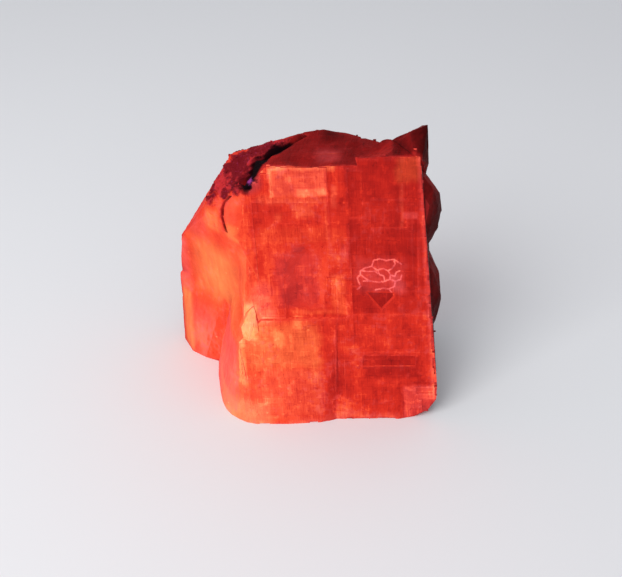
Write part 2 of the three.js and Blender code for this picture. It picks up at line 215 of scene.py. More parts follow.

# Paler and darker places of the stone. On the front and in its pit they are given along and up the
# lattice, on the left break by x and height, on the top and the fin by x and y. Glow multiplies, warm
# and pink shift the colour.
# Some of the darker places are painted shade: the dark spots in the front's hollow, the top behind its
# front edge, and the fin.
Patch = namedtuple("Patch", "name where across up soft glow warm pink")
PATCHES = (
    Patch("bright panel", "front", (-4.4, 5.4), (45.0, 50.4), 0.35, 1.15, 0.1, 0.3),
    Patch("pale bar left of the panel", "front", (-4.7, -4.0), (45.0, 50.3), 0.2, 1.28, 0.25, 0.3),
    Patch("pale bar under the panel", "front", (0.1, 5.5), (45.1, 46.5), 0.3, 1.27, 0.2, 0.35),
    Patch("pale bar at the panel's right end", "front", (3.6, 5.5), (45.4, 49.4), 0.4, 1.2, 0.1, 0.35),
    Patch("pale cloud in the panel", "front", (-1.8, 1.6), (47.2, 48.6), 0.5, 1.2, 0.1, 0.3),
    Patch("pale edge over the panel", "front", (-4.2, 7.2), (49.7, 50.7), 0.2, 1.22, 0.3, 0.1),
    Patch("pale bit right of the panel", "front", (6.2, 7.2), (43.0, 47.0), 0.4, 1.12, 0.1, 0.2),
    Patch("pale course over the upper front", "front", (-7.0, 5.0), (43.6, 45.2), 0.5, 1.08, 0.1, 0.1),
    Patch("dark patch under the panel", "front", (-7.5, -1.6), (39.4, 44.8), 0.8, 0.9, 0.0, 0.0),
    Patch("pale cloud under the panel", "front", (-0.8, 2.7), (41.3, 43.7), 0.7, 1.14, 0.1, 0.15),
    Patch("small pale cloud", "front", (-4.3, -3.0), (40.5, 41.9), 0.5, 1.14, 0.1, 0.1),
    Patch("pale upright line", "front", (4.9, 5.3), (37.0, 44.9), 0.2, 1.12, 0.1, 0.1),
    Patch("pale course over the hollow", "front", (-7.3, 8.4), (36.4, 39.2), 0.6, 1.06, 0.05, 0.0),
    Patch("rosy edge of the hollow", "front", (-1.5, 0.8), (34.3, 35.7), 0.4, 0.86, 0.0, 0.45),
    Patch("hollow", "front", (-5.0, 3.4), (24.0, 34.4), 1.2, 0.99, 0.0, 0.3),
    Patch("dark spot at the hollow's top", "front", (-4.8, -2.4), (30.4, 33.4), 0.5, 0.87, 0.0, 0.35),
    Patch("dark spot at the hollow's foot", "front", (-3.8, -0.2), (23.4, 27.8), 0.5, 0.87, 0.0, 0.2),
    Patch("dark spot in the hollow", "front", (0.4, 2.6), (25.0, 29.4), 0.4, 0.92, 0.0, 0.1),
    Patch("pale band beside the hollow", "front", (5.4, 8.0), (22.6, 30.4), 0.5, 1.1, 0.1, 0.0),
    Patch("rosy spot on the band", "front", (7.5, 8.8), (34.0, 35.7), 0.4, 1.08, 0.0, 0.5),
    Patch("pale lip under the hollow", "front", (-2.4, 8.2), (22.2, 23.0), 0.25, 1.1, 0.1, 0.0),
    Patch("salmon slope left of the hollow", "front", (-9.6, -5.6), (20.9, 28.4), 1.3, 1.27, 0.0, 0.45),
    Patch("orange panel of the lower block", "front", (-11.6, 2.6), (11.8, 20.9), 1.4, 1.1, 0.3, 0.0),
    Patch("pale slanting line", "front", (-8.6, 2.8), (9.4, 11.4), 0.6, 1.06, 0.1, 0.15),
    Patch("lower orange panel", "front", (-11.0, 2.4), (1.5, 9.6), 1.2, 1.03, 0.05, 0.15),
    Patch("cream spots", "front", (-6.1, -4.1), (16.2, 19.6), 0.6, 1.2, 0.6, 0.0),
    Patch("lip tab", "front", (-2.2, -0.4), (19.6, 21.8), 0.3, 1.14, 0.4, 0.0),
    Patch("tooth", "front", (-13.0, -9.1), (17.6, 24.4), 0.5, 1.36, 0.8, 0.0),
    Patch("creamy streak at the left edge", "front", (-13.4, -11.8), (8.0, 18.4), 0.5, 1.24, 0.7, 0.0),
    Patch("foot at the left", "front", (-17.0, -7.4), (-1.0, 5.0), 1.2, 1.17, 0.25, 0.35),
    Patch("dark patch low in the middle", "front", (3.0, 8.4), (5.4, 14.4), 1.1, 0.88, 0.0, 0.0),
    Patch("dark spot low in the middle", "front", (4.5, 7.0), (5.2, 10.2), 0.9, 0.92, 0.0, 0.0),
    Patch("dark oblong", "front", (10.6, 21.6), (9.0, 13.9), 0.45, 0.8, 0.0, 0.0),
    Patch("right panel", "front", (9.0, 27.0), (22.6, 52.4), 0.5, 0.9, 0.0, 0.0),
    Patch("orange corner at the top right", "front", (18.0, 22.4), (47.6, 52.4), 0.9, 1.16, 0.2, 0.0),
    Patch("pale upright line at the right", "front", (18.6, 19.1), (39.2, 47.4), 0.2, 1.14, 0.1, 0.2),
    Patch("dark upright line at the right", "front", (17.6, 18.3), (39.2, 47.0), 0.25, 0.86, 0.0, 0.0),
    Patch("rosy bar", "front", (18.8, 21.6), (40.8, 42.0), 0.25, 1.12, 0.0, 0.6),
    Patch("dark band over the net of cracks", "front", (9.2, 22.8), (33.8, 36.2), 0.7, 0.92, 0.0, 0.0),
    Patch("crazed patch", "front", (10.0, 19.2), (26.6, 33.4), 1.0, 1.02, 0.0, 0.4),
    Patch("rosy haze at the net's right end", "front", (16.4, 19.0), (26.8, 30.6), 0.9, 1.2, 0.0, 1.0),
    Patch("rosy haze in the net", "front", (11.0, 15.6), (28.6, 31.4), 0.8, 1.04, 0.0, 0.5),
    Patch("pit under the net", "pit", (8.6, 17.2), (21.0, 27.6), 0.1, 0.72, 0.0, 0.0),
    Patch("dark panel low at the right", "front", (8.4, 18.6), (2.4, 8.0), 1.2, 0.95, 0.0, 0.0),
    Patch("ledges at the lower right", "front", (18.6, 25.4), (-1.0, 7.4), 0.3, 1.27, 0.0, 0.45),
    Patch("bottom rim", "front", (-4.0, 18.4), (-1.0, 1.2), 0.6, 1.12, 0.05, 0.25),
    Patch("orange middle of the break", "break", (-22.4, -14.6), (17.0, 31.0), 3.4, 1.05, 0.85, 0.0),
    Patch("yellow band at the left edge", "break", (-27.4, -25.3), (0.5, 14.0), 0.6, 1.08, 0.7, 0.0),
    Patch("rosy left edge", "break", (-27.8, -25.0), (14.0, 29.0), 0.9, 1.05, 0.0, 0.7),
    Patch("rosy foot", "break", (-25.0, -16.4), (-3.0, 12.0), 3.4, 1.12, 0.0, 0.9),
    Patch("pale foot of the lower block", "break", (-18.4, -9.0), (-1.0, 4.4), 1.0, 1.08, 0.5, 0.15),
    Patch("rosy shoulder", "break", (-24.0, -20.0), (31.5, 37.0), 1.2, 0.98, 0.0, 0.4),
    Patch("side of the lower block", "break", (-17.9, -14.2), (1.0, 16.0), 0.8, 0.99, 0.0, 0.85),
    Patch("yellow facet at the left", "break", (-19.6, -17.0), (36.0, 40.6), 0.6, 1.0, 0.5, 0.0),
    Patch("yellow facet below the crack", "break", (-15.6, -13.0), (36.2, 39.2), 0.6, 1.06, 0.6, 0.0),
    Patch("rosy facet", "break", (-15.6, -13.4), (39.6, 44.2), 0.6, 1.06, 0.1, 0.4),
    Patch("orange right of the break", "break", (-13.6, -9.4), (24.0, 34.0), 1.2, 1.03, 0.3, 0.0),
    Patch("top behind its front edge", "top", (-12.0, 26.0), (10.0, 30.0), 0.5, 0.86, 0.0, 0.0),
    Patch("rosy patch on the top", "top", (0.9, 5.2), (14.6, 18.6), 1.0, 1.2, 0.0, 0.7),
    Patch("dark spot on the top", "top", (2.2, 5.0), (21.0, 24.6), 1.0, 0.7, 0.0, 0.0),
    Patch("fin", "fin", (14.4, 24.0), (14.0, 24.0), 0.5, 0.5, 0.0, 0.0),
)
STARTS = {"top": 49.0, "fin": 52.1, "pit": 0.36}

# Shares of the glow: what the crooked crack, the haze and the crevice's painted shade take away, how far
# the walls of shallow steps are filled and up to which glow, and what the right edge and the rims add.
CROOKED_DIMS = 0.15
STEP_FILL = 0.6
STEP_GLOW = 0.78
EDGE_GLOW = 0.45
EDGE_PINK = 0.35
HAZE_PINK = 0.8
HAZE_DIMS = 0.3
CREVICE_DIMS = 0.96
RIM_BARES = 0.85
RED_RIM_SHARE = 0.45

# The oblong fields of the cleavage net and its small blocks, as width and height.
LARGE_FIELD = (4.6, 6.4)
MIDDLE_FIELD = (1.9, 2.7)
SMALL_FIELD = (0.62, 1.35)
BLOCK = (0.55, 0.8)
SPECK_SCALE = 0.62
BUMP_HEIGHT = 0.16 * MM

# Which corners belong to a cleavage face, and how a broken face is measured instead.
ON_SHEET = 0.96
BROKEN_ACROSS = (0.72, -0.69)
BROKEN_LAYER = 9.0

# How a glow between dark and dazzling looks, as stops of (glow, red, green, blue), and the colours
# that places lean towards.
BRIGHTEST = 1.6
GLOW_STOPS = (
    (0.0, 0.010, 0.0008, 0.0010),
    (0.14, 0.050, 0.0024, 0.0026),
    (0.34, 0.245, 0.0075, 0.0075),
    (0.54, 0.460, 0.0150, 0.0110),
    (0.72, 0.700, 0.0300, 0.0160),
    (0.90, 0.960, 0.0800, 0.0310),
    (1.08, 1.000, 0.1650, 0.0620),
    (1.30, 1.000, 0.3600, 0.1450),
    (1.60, 1.000, 0.6000, 0.3200),
)
WARM = (1.0, 0.46, 0.13)
ROSE = (1.0, 0.15, 0.17)
LEANING = 0.62
CRUST_BROWN = (0.115, 0.0050, 0.0085, 1.0)
CRUST_RED = (0.360, 0.0190, 0.0220, 1.0)
# Painted reflection: purple glints of the ultraviolet lamp on the crust.
CRUST_PURPLE_GLINT = (0.230, 0.0180, 0.0560, 1.0)
# Painted reflection: the violet glint of the ultraviolet lamp at the crevice's lower end.
VIOLET_GLINT = (0.300, 0.0400, 0.2200, 1.0)
# Painted shade: the colour of the crevice.
CREVICE_SHADE = (0.004, 0.001, 0.002, 1.0)

# The net of fine cracks on the right of the front, as courses along and up the lattice.
CRACK_HALF = 0.09
CRACK_AREA = ((9.4, 20.0), (24.4, 34.2))
CRACK_EDGE = 0.27
CRACK_FACES_FRONT = 0.6
CRACKS = (
    ((13.4, 33.0), (14.6, 33.3), (15.8, 33.0), (17.2, 33.2), (18.6, 32.3)),
    ((13.5, 33.0), (13.1, 31.9), (14.0, 31.1), (15.2, 31.4), (16.1, 31.0), (16.9, 31.5)),
    ((16.9, 31.5), (17.4, 32.3), (17.2, 33.1)),
    ((13.1, 31.9), (11.8, 31.5), (11.0, 31.0), (10.9, 30.2), (10.3, 29.5), (10.5, 28.7)),
    ((11.0, 31.0), (12.4, 30.8), (13.6, 30.9), (14.2, 30.4)),
    ((10.9, 30.2), (12.0, 29.3), (12.8, 28.9)),
    ((11.4, 28.9), (12.8, 28.9), (14.4, 28.7), (15.4, 28.9), (16.4, 29.3)),
    ((14.2, 31.1), (14.5, 30.2), (15.3, 29.9), (15.4, 28.9)),
    ((16.1, 31.0), (16.5, 30.2), (17.3, 29.9), (17.6, 30.7), (18.3, 31.0)),
    ((16.4, 29.3), (16.5, 30.2)),
    ((16.4, 29.3), (17.4, 28.9), (18.4, 29.3), (18.6, 30.2)),
    ((17.4, 28.9), (17.2, 27.9), (16.2, 27.4), (16.7, 26.6)),
    ((16.2, 27.4), (14.9, 27.5), (13.6, 27.2)),
    ((10.5, 28.7), (10.9, 27.9), (10.3, 27.3)),
)


# The stage: the sky's colour, the soft lamp's width and place in metres, and the camera's lens and
# sensor in millimetres with its place to the right of the stone's middle in metres.
SKY_COLOUR = (0.93, 0.95, 1.0, 1.0)
KEY_SIZE = 0.3
KEY_PLACE = (-0.24, -0.26, 0.36)
LENS = 50.0
SENSOR = 36.0
CAMERA_RIGHT = 0.5 * MM


class StoneSettings(bpy.types.PropertyGroup):
    """Sizes and glow of the stone."""

    fine_edge: FloatProperty(
        name="Fine edge", description="Longest mesh edge on the broken faces at the front, top and left",
        default=0.84 * MM, min=0.1 * MM, unit="LENGTH",
    )
    crust_edge: FloatProperty(
        name="Crust edge", description="Longest mesh edge on the dark crust and beside the crevice",
        default=0.52 * MM, min=0.1 * MM, unit="LENGTH",
    )
    front_edge: FloatProperty(
        name="Front edge", description="Longest mesh edge on the front face",
        default=0.6 * MM, min=0.1 * MM, unit="LENGTH",
    )
    flat_edge: FloatProperty(
        name="Flat edge", description="Longest mesh edge on the other cleavage faces",
        default=1.25 * MM, min=0.1 * MM, unit="LENGTH",
    )
    plain_edge: FloatProperty(
        name="Plain edge", description="Longest mesh edge on the broken faces at the right and the back",
        default=1.2 * MM, min=0.1 * MM, unit="LENGTH",
    )
    foot_edge: FloatProperty(
        name="Foot edge", description="Longest mesh edge on the resting face",
        default=3.0 * MM, min=0.1 * MM, unit="LENGTH",
    )
    break_relief: FloatProperty(
        name="Break relief", description="Height of the relief on the broken faces",
        default=0.34 * MM, min=0.0, unit="LENGTH",
    )
    crust_relief: FloatProperty(
        name="Crust relief", description="Height of the relief on the dark crust",
        default=0.5 * MM, min=0.0, unit="LENGTH",
    )
    grain_size: FloatProperty(
        name="Crust grain", description="Width of the grains on the dark crust",
        default=0.62 * MM, min=0.05 * MM, unit="LENGTH",
    )
    flake_size: FloatProperty(
        name="Flake", description="Width of the largest flakes along the edges",
        default=0.5 * MM, min=0.05 * MM, unit="LENGTH",
    )
    seed: IntProperty(
        name="Seed", description="Row of random numbers for grains and flakes", default=4, min=0,
    )
    glow: FloatProperty(
        name="Glow", description="Share of the stone's colour that it gives off as light",
        default=0.8, min=0.0, max=2.0, subtype="FACTOR",
    )
    body: FloatProperty(
        name="Body colour", description="Share of the stone's colour that it throws back",
        default=0.29, min=0.0, max=1.0, subtype="FACTOR",
    )
    deep_glow: FloatProperty(
        name="Deep glow", description="Glow where the ultraviolet doesn't reach directly",
        default=0.095, min=0.0, max=1.0, subtype="FACTOR",
    )
    # Painted light: faces that look up are made brighter.
    top_glow: FloatProperty(
        name="Top glow", description="Glow that rises to the faces that look up",
        default=0.2, min=0.0, max=1.0, subtype="FACTOR",
    )
    # Painted light from the weak lamp behind, on the faces that look back.
    back_glow: FloatProperty(
        name="Back glow", description="Glow of the faces that look back",
        default=0.42, min=0.0, max=1.0, subtype="FACTOR",
    )


class StageSettings(bpy.types.PropertyGroup):
    """The floor, the studio light and the camera."""

    floor_colour: FloatVectorProperty(
        name="Floor colour", description="Colour of the pale floor",
        default=(0.78, 0.78, 0.79), size=3, min=0.0, max=1.0, subtype="COLOR",
    )
    floor_size: FloatProperty(
        name="Floor size", description="Width of the square floor", default=4.0, min=0.5, unit="LENGTH",
    )
    sky: FloatProperty(
        name="Sky", description="Strength of the even light from all round", default=0.62, min=0.0,
    )
    key_power: FloatProperty(
        name="Key light", description="Power of the large soft lamp at the left",
        default=1.5, min=0.0, unit="POWER",
    )
    camera_height: FloatProperty(
        name="Camera height", description="Height of the camera above the floor",
        default=0.12707, min=0.0, unit="LENGTH",
    )
    camera_back: FloatProperty(
        name="Camera distance", description="How far in front of the stone's middle the camera stands",
        default=0.13706, min=0.0, unit="LENGTH",
    )
    camera_down: FloatProperty(
        name="Camera angle", description="How far the camera looks down",
        default=math.radians(38), subtype="ANGLE",
    )


class Field:
    """A socket that can be used in arithmetic, in a shader or a geometry tree."""

    def __init__(self, tree, socket):
        self.tree = tree
        self.socket = socket

    def maths(self, operation, *values):
        return self.tree.maths(operation, *values)

    def __add__(self, other):
        return self.maths("ADD", self, other)

    def __radd__(self, other):
        return self.maths("ADD", other, self)

    def __sub__(self, other):
        return self.maths("SUBTRACT", self, other)

    def __rsub__(self, other):
        return self.maths("SUBTRACT", other, self)

    def __mul__(self, other):
        return self.maths("MULTIPLY", self, other)

    def __rmul__(self, other):
        return self.maths("MULTIPLY", other, self)

    def __truediv__(self, other):
        return self.maths("DIVIDE", self, other)

    def __rtruediv__(self, other):
        return self.maths("DIVIDE", other, self)


class Tree:
    """A node tree that is built by calls."""

    def __init__(self, nodes_of):
        self.nodes_of = nodes_of
        nodes_of.nodes.clear()

    def node(self, kind, settings=None, values=None):
        """A node of this type, with its settings first and then its sockets' values or links."""
        made = self.nodes_of.nodes.new(kind)
        for name, value in (settings or {}).items():
            if name == "stops":
                self.set_stops(made.color_ramp, value)
            else:
                setattr(made, name, value)
        for key, value in (values or {}).items():
            self.feed(made.inputs[key], value)
        return made

    def set_stops(self, ramp, stops):
        """Gives a ramp its stops of (place, colour)."""
        while len(ramp.elements) < len(stops):
            ramp.elements.new(1.0)
        for element, (place, colour) in zip(ramp.elements, stops):
            element.position = place
            element.color = colour

    def feed(self, socket, value):
        """Links a field or an output to a socket, or sets its value."""
        if isinstance(value, (list, tuple)) and any(isinstance(one, Field) for one in value):
            for one in value:
                self.feed(socket, one)
        elif isinstance(value, Field):
            self.nodes_of.links.new(value.socket, socket)
        elif isinstance(value, bpy.types.NodeSocket):
            self.nodes_of.links.new(value, socket)
        else:
            socket.default_value = value

    def field(self, kind, settings=None, values=None, output=0):
        """One output of a new node, as a field."""
        return Field(self, self.node(kind, settings, values).outputs[output])

    def maths(self, operation, *values):
        return self.field("ShaderNodeMath", {"operation": operation}, dict(enumerate(values)))

    def vectors(self, operation, *values, output=0):
        settings = {"operation": operation}
        return self.field("ShaderNodeVectorMath", settings, dict(enumerate(values)), output)

    def scaled(self, vector, share):
        """A vector or a colour at a share of its strength."""
        return self.field("ShaderNodeVectorMath", {"operation": "SCALE"}, {0: vector, "Scale": share})

    def floor(self, value):
        return self.maths("FLOOR", value)

    def fraction(self, value):
        return self.maths("FRACT", value)

    def least(self, first, second):
        return self.maths("MINIMUM", first, second)

    def most(self, first, second):
        return self.maths("MAXIMUM", first, second)

    def combine(self, x=0.0, y=0.0, z=0.0):
        return self.field("ShaderNodeCombineXYZ", {}, {0: x, 1: y, 2: z})

    def ease(self, value, start, end):
        """0 at start, 1 at end, smooth between them."""
        values = {"Value": value, "From Min": start, "From Max": end}
        return self.field("ShaderNodeMapRange", {"interpolation_type": "SMOOTHSTEP"}, values)

    def noise(self, vector, scale, detail=2.0, roughness=0.5, output=0):
        values = {"Vector": vector, "Scale": scale, "Detail": detail, "Roughness": roughness}
        return self.field("ShaderNodeTexNoise", {}, values, output)

    def chance(self, vector):
        """The same random number for the same vector."""
        return self.field("ShaderNodeTexWhiteNoise", {"noise_dimensions": "3D"}, {"Vector": vector})

    def mix_colour(self, share, first, second, blend="MIX"):
        """Mixes two colours."""
        values = {0: share, 6: first, 7: second}
        settings = {"data_type": "RGBA", "blend_type": blend}
        return self.field("ShaderNodeMix", settings, values, 2)

    def mix(self, share, first, second):
        """Mixes two numbers."""
        return self.field("ShaderNodeMix", {"data_type": "FLOAT"}, {0: share, 2: first, 3: second})


def lattice_places(points):
    """Each point's place along, behind and up the cleavage lattice, in millimetres."""
    behind = points[:, 1] - LEAN * points[:, 2]
    along = points[:, 0] - SPLAY * behind + RAKE * points[:, 2]
    return np.stack([along, behind, points[:, 2]], axis=1)


def drawn_places(points):
    """Points of a mesh in metres, in the millimetres that the stone was drawn in."""
    return points / MM + MIDDLE


def read(collection, name, width):
    """One attribute of a collection as rows of numbers."""
    values = np.empty(len(collection) * width)
    collection.foreach_get(name, values)
    return values.reshape(-1, width)


def step(value, start, end):
    """0 at start, 1 at end, smooth between them."""
    share = np.clip((value - start) / (end - start), 0.0, 1.0)
    return share * share * (3.0 - 2.0 * share)


def fade(value, start, end):
    """1 at start, 0 at end, smooth between them."""
    return 1.0 - step(value, start, end)


def waves(values, terms):
    """A sum of sines, each given as (height, rate, shift)."""
    return sum(height * np.sin(rate * values + shift) for height, rate, shift in terms)


def face_normals(points, faces):
    """The outward direction of each triangle."""
    first = points[faces[:, 1]] - points[faces[:, 0]]
    second = points[faces[:, 2]] - points[faces[:, 0]]
    normals = np.cross(first, second)
    return normals / np.maximum(np.linalg.norm(normals, axis=1, keepdims=True), 1e-20)


def cleavage_lines(low, high, steps, random):
    """Places of the cleavage lines along one axis, at uneven steps."""
    places = []
    place = low + random.uniform(*steps)
    while place < high:
        places.append(place)
        place += steps[0] + (steps[1] - steps[0]) * random.random() ** LINE_CROWDING
    return np.array(places)


def sheet_lines(sheet):
    """The lines of one sort of cleavage face along its two axes."""
    random = np.random.default_rng(sheet.seed)
    return [
        cleavage_lines(LATTICE_LOW[axis], LATTICE_HIGH[axis], steps, random)
        for axis, steps in zip(sheet.axes, sheet.steps)
    ]


def lattice_plane(axis, place):
    """A point and the normal of the lattice plane at this place along an axis, as the mesh has them."""
    directions = [ALONG, BEHIND, UPRIGHT]
    others = [direction for n, direction in enumerate(directions) if n != axis]
    point = (directions[axis] * place - MIDDLE) * MM
    return Vector(point), Vector(unit(np.cross(*others)))


def cut_along_cleavage(work):
    """Cuts each cleavage face along its lines, twice for each, so that a step can stand upright."""
    for sheet in SHEETS:
        outward = Vector(sheet.outward)
        parts = [face for face in work.faces if face.normal.dot(outward) > SAME_FACE]
        for axis, lines in zip(sheet.axes, sheet_lines(sheet)):
            for place in lines:
                for offset in (0.0, STEP_WALL):
                    around = {edge for face in parts for edge in face.edges}
                    corners = {vertex for face in parts for vertex in face.verts}
                    point, normal = lattice_plane(axis, place + offset)
                    geometry = [*corners, *around, *parts]
                    cut = bmesh.ops.bisect_plane(
                        work, geom=geometry, dist=MERGE, plane_co=point, plane_no=normal,
                    )
                    parts = [one for one in cut["geom"] if isinstance(one, bmesh.types.BMFace)]


def stone_triangles():
    """The frame's stone as merged triangles, cut along the lines of its cleavage faces."""
    work = bmesh.new()
    work.from_mesh(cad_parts[NODE].data)
    bmesh.ops.remove_doubles(work, verts=work.verts[:], dist=MERGE)
    bmesh.ops.dissolve_limit(work, angle_limit=FLAT_ANGLE, verts=work.verts[:], edges=work.edges[:])
    work.normal_update()
    cut_along_cleavage(work)
    bmesh.ops.triangulate(work, faces=work.faces[:])
    work.verts.index_update()
    points = np.array([vertex.co[:] for vertex in work.verts])
    faces = np.array([[vertex.index for vertex in face.verts] for face in work.faces])
    work.free()
    return points, without_twins(faces)


def without_twins(faces):
    """The triangles without those that lie twice between the same three points."""
    corners = np.sort(faces, axis=1)
    _, index, count = np.unique(corners, axis=0, return_inverse=True, return_counts=True)
    return faces[count[index.ravel()] == 1]


def turned(faces, marks, lead):
    """Each triangle and its marks, turned so that the marked side that leads comes first."""
    order = (lead[:, None] + np.arange(3)) % 3
    rows = np.arange(len(faces))[:, None]
    return faces[rows, order], marks[rows, order]


def split_once(points, faces, longest):
    """Halves every edge that is longer than its faces allow. Says whether there was one."""
    sides = np.stack([faces[:, [0, 1]], faces[:, [1, 2]], faces[:, [2, 0]]], axis=1).reshape(-1, 2)
    keys, index = np.unique(sides.min(axis=1) * len(points) + sides.max(axis=1), return_inverse=True)
    edges = np.stack([keys // len(points), keys % len(points)], axis=1)
    allowed = np.full(len(edges), np.inf)
    np.minimum.at(allowed, index, np.repeat(longest, 3))
    length = np.linalg.norm(points[edges[:, 0]] - points[edges[:, 1]], axis=1)
    long = length > allowed
    if not long.any():
        return points, faces, longest, False
    middle = np.full(len(edges), -1)
    middle[long] = len(points) + np.arange(long.sum())
    points = np.vstack([points, points[edges[long]].mean(axis=1)])
    marks = middle[index].reshape(-1, 3)
    count = (marks >= 0).sum(axis=1)
    parts = [faces[count == 0]]
    limits = [longest[count == 0]]

    one = count == 1
    face, mark = turned(faces[one], marks[one], np.argmax(marks[one] >= 0, axis=1))
    parts += [
        np.stack([face[:, 0], mark[:, 0], face[:, 2]], axis=1),
        np.stack([mark[:, 0], face[:, 1], face[:, 2]], axis=1),
    ]
    limits += [longest[one]] * 2

    two = count == 2
    face, mark = turned(faces[two], marks[two], (np.argmin(marks[two] >= 0, axis=1) + 1) % 3)
    parts += [
        np.stack([mark[:, 0], face[:, 1], mark[:, 1]], axis=1),
        np.stack([face[:, 0], mark[:, 0], mark[:, 1]], axis=1),
        np.stack([face[:, 0], mark[:, 1], face[:, 2]], axis=1),
    ]
    limits += [longest[two]] * 3

    three = count == 3
    face, mark = faces[three], marks[three]
    parts += [
        np.stack([face[:, 0], mark[:, 0], mark[:, 2]], axis=1),
        np.stack([mark[:, 0], face[:, 1], mark[:, 1]], axis=1),
        np.stack([mark[:, 1], face[:, 2], mark[:, 2]], axis=1),
        mark,
    ]
    limits += [longest[three]] * 4
    return points, np.vstack(parts), np.concatenate(limits), True


def in_crack_area(places):
    """Whether places of the lattice lie where the net of fine cracks is."""
    inside = np.ones(len(places), bool)
    for axis, (low, high) in zip((0, 2), CRACK_AREA):
        inside &= (places[:, axis] > low) & (places[:, axis] < high)
    return inside


def split(points, faces, longest):
    """Halves edges until none is longer than its faces allow."""
    going = True
    while going:
        points, faces, longest, going = split_once(points, faces, longest)
    return points, faces


def refine(points, faces, settings):
    """Fine triangles where the stone is looked at, coarser ones behind it and under it."""
    normals = face_normals(points, faces)
    longest = np.full(len(faces), settings.plain_edge)
    in_view = (normals[:, 1] < -LOOKS_FRONT) | (normals[:, 2] > LOOKS_UP) | (normals[:, 0] < -LOOKS_LEFT)
    longest[in_view] = settings.fine_edge
    for sheet in SHEETS:
        longest[normals @ sheet.outward > SAME_FACE] = settings.flat_edge
    longest[normals @ FRONT_NORMAL > SAME_FACE] = settings.front_edge
    longest[normals[:, 2] < -LOOKS_DOWN] = settings.foot_edge
    points, faces = split(points, faces, longest)
    middles = drawn_places(points[faces].mean(axis=1))
    near_cracks = in_crack_area(lattice_places(middles))
    near_cracks &= face_normals(points, faces) @ FRONT_NORMAL > SAME_FACE
    longest = np.where(near_cracks, CRACK_EDGE * MM, np.inf)
    on_crust = (crust_share(middles) > 0.0) | (distance_to_course(middles, CREVICE) < CREVICE_REACH)
    on_crust |= beside_crooked_crack(middles) < CROOKED_FINE
    longest = np.where(on_crust, settings.crust_edge, longest)
    return split(points, faces, longest)


def terrace_depths(sheet, lines):
    """How deep each field between the lines of a cleavage face lies, from layers that overlap."""
    random = np.random.default_rng(sheet.seed + TERRACE_SEED)
    depths = np.zeros([len(one) + 1 for one in lines])
    for _ in range(TERRACES):
        low = [random.integers(0, size) for size in depths.shape]
        high = [
            start + 1 + int(size * TERRACE_REACH * random.random() ** TERRACE_CROWDING)
            for start, size in zip(low, depths.shape)
        ]
        depths[low[0]:high[0], low[1]:high[1]] += random.choice(TERRACE_LAYERS)
    depths = np.minimum(depths, TERRACE_DEEPEST)
    return (depths - depths.min()) * sheet.relief


def terraces(points, faces):
    """How far each point sinks with the thin layers that have split off, in metres."""
    places = lattice_places(drawn_places(points))
    normals = face_normals(points, faces)
    sinking = np.zeros_like(points)
    for sheet in SHEETS:
        lines = sheet_lines(sheet)
        depths = terrace_depths(sheet, lines)
        corners = np.unique(faces[normals @ sheet.outward > SAME_FACE])
        fields = [
            np.searchsorted(line + STEP_WALL / 2, places[corners, axis])
            for axis, line in zip(sheet.axes, lines)
        ]
        sinking[corners] += depths[fields[0], fields[1]][:, None] * sheet.inward * MM
    return sinking


def distance_to_course(points, course):
    """How far each point is from a course of straight stretches."""
    nearest = np.full(len(points), np.inf)
    for start, end in zip(course[:-1], course[1:]):
        way = end - start
        share = np.clip((points - start) @ way / (way @ way), 0.0, 1.0)
        apart = points - start - share[:, None] * way
        nearest = np.minimum(nearest, np.linalg.norm(apart, axis=1))
    return nearest


def beside_crooked_crack(places):
    """How far each place lies beside the crooked crack, seen from outside the stone."""
    flattened = [one - (one @ FACET_OUTWARD)[:, None] * FACET_OUTWARD for one in (places, CROOKED_CRACK)]
    near = distance_to_course(places, CROOKED_CRACK) < CROOKED_REACH
    return np.where(near, distance_to_course(*flattened), CROOKED_REACH)


def behind_crevice(places):
    """How far each place lies behind the crevice."""
    return (places - CREVICE_MIDDLE) @ CREVICE_SIDE


def crust_share(places):
    """1 on the dark crust, 0 on the calcite."""
    edge_x, edge_z, edge_rise = CRUST_EDGE
    wrap_x, wrap_wide, wrap_far = CRUST_WRAP
    wrapped = wrap_far * step(wrap_x - places[:, 0], 0.0, wrap_wide)
    sway = waves(places[:, 0], CRUST_SWAY_X) + waves(places[:, 1], CRUST_SWAY_Y)
    inside = behind_crevice(places) + wrapped - CRUST_GAP
    inside = np.minimum(inside, places[:, 2] - edge_z - edge_rise * (places[:, 0] - edge_x) + sway)
    inside = np.minimum(inside, CRUST_BACK - places[:, 1])
    inside = np.minimum(inside, CRUST_RIGHT - places[:, 0] + sway)
    return step(inside, *CRUST_FADE)


def flat_share(points, faces):
    """1 on the points that belong to cleavage faces alone, 0 on broken ones."""
    normals = face_normals(points, faces)
    flat = np.zeros(len(faces), bool)
    for sheet in SHEETS:
        flat |= normals @ sheet.outward > SAME_FACE
    flat |= normals[:, 2] < -LOOKS_DOWN
    broken = np.zeros(len(points), bool)
    broken[faces[~flat]] = True
    whole = np.zeros(len(points), bool)
    whole[faces[flat]] = True
    return (whole | ~broken).astype(float)


def convexity(points, faces, normals):
    """How sharply the surface turns outwards at each point, from 0 to 1."""
    sides = np.sort(sides_of(faces), axis=1)
    order = np.lexsort((sides[:, 1], sides[:, 0]))
    sides = sides[order]
    owners = order % len(faces)
    same = np.flatnonzero((sides[1:] == sides[:-1]).all(axis=1))
    left, right = owners[same], owners[same + 1]
    turn = 1.0 - np.einsum("ij,ij->i", normals[left], normals[right])
    across = points[faces[right]].mean(axis=1) - points[sides[same, 0]]
    outward = np.einsum("ij,ij->i", normals[left], across)
    turn = np.where(outward < 0.0, turn, 0.0)
    result = np.zeros(len(points))
    for end in (0, 1):
        np.maximum.at(result, sides[same, end], turn)
    return np.minimum(result, 1.0)


def sides_of(faces):
    """The three sides of each triangle, all first sides before all second ones."""
    return np.vstack([faces[:, [0, 1]], faces[:, [1, 2]], faces[:, [2, 0]]])


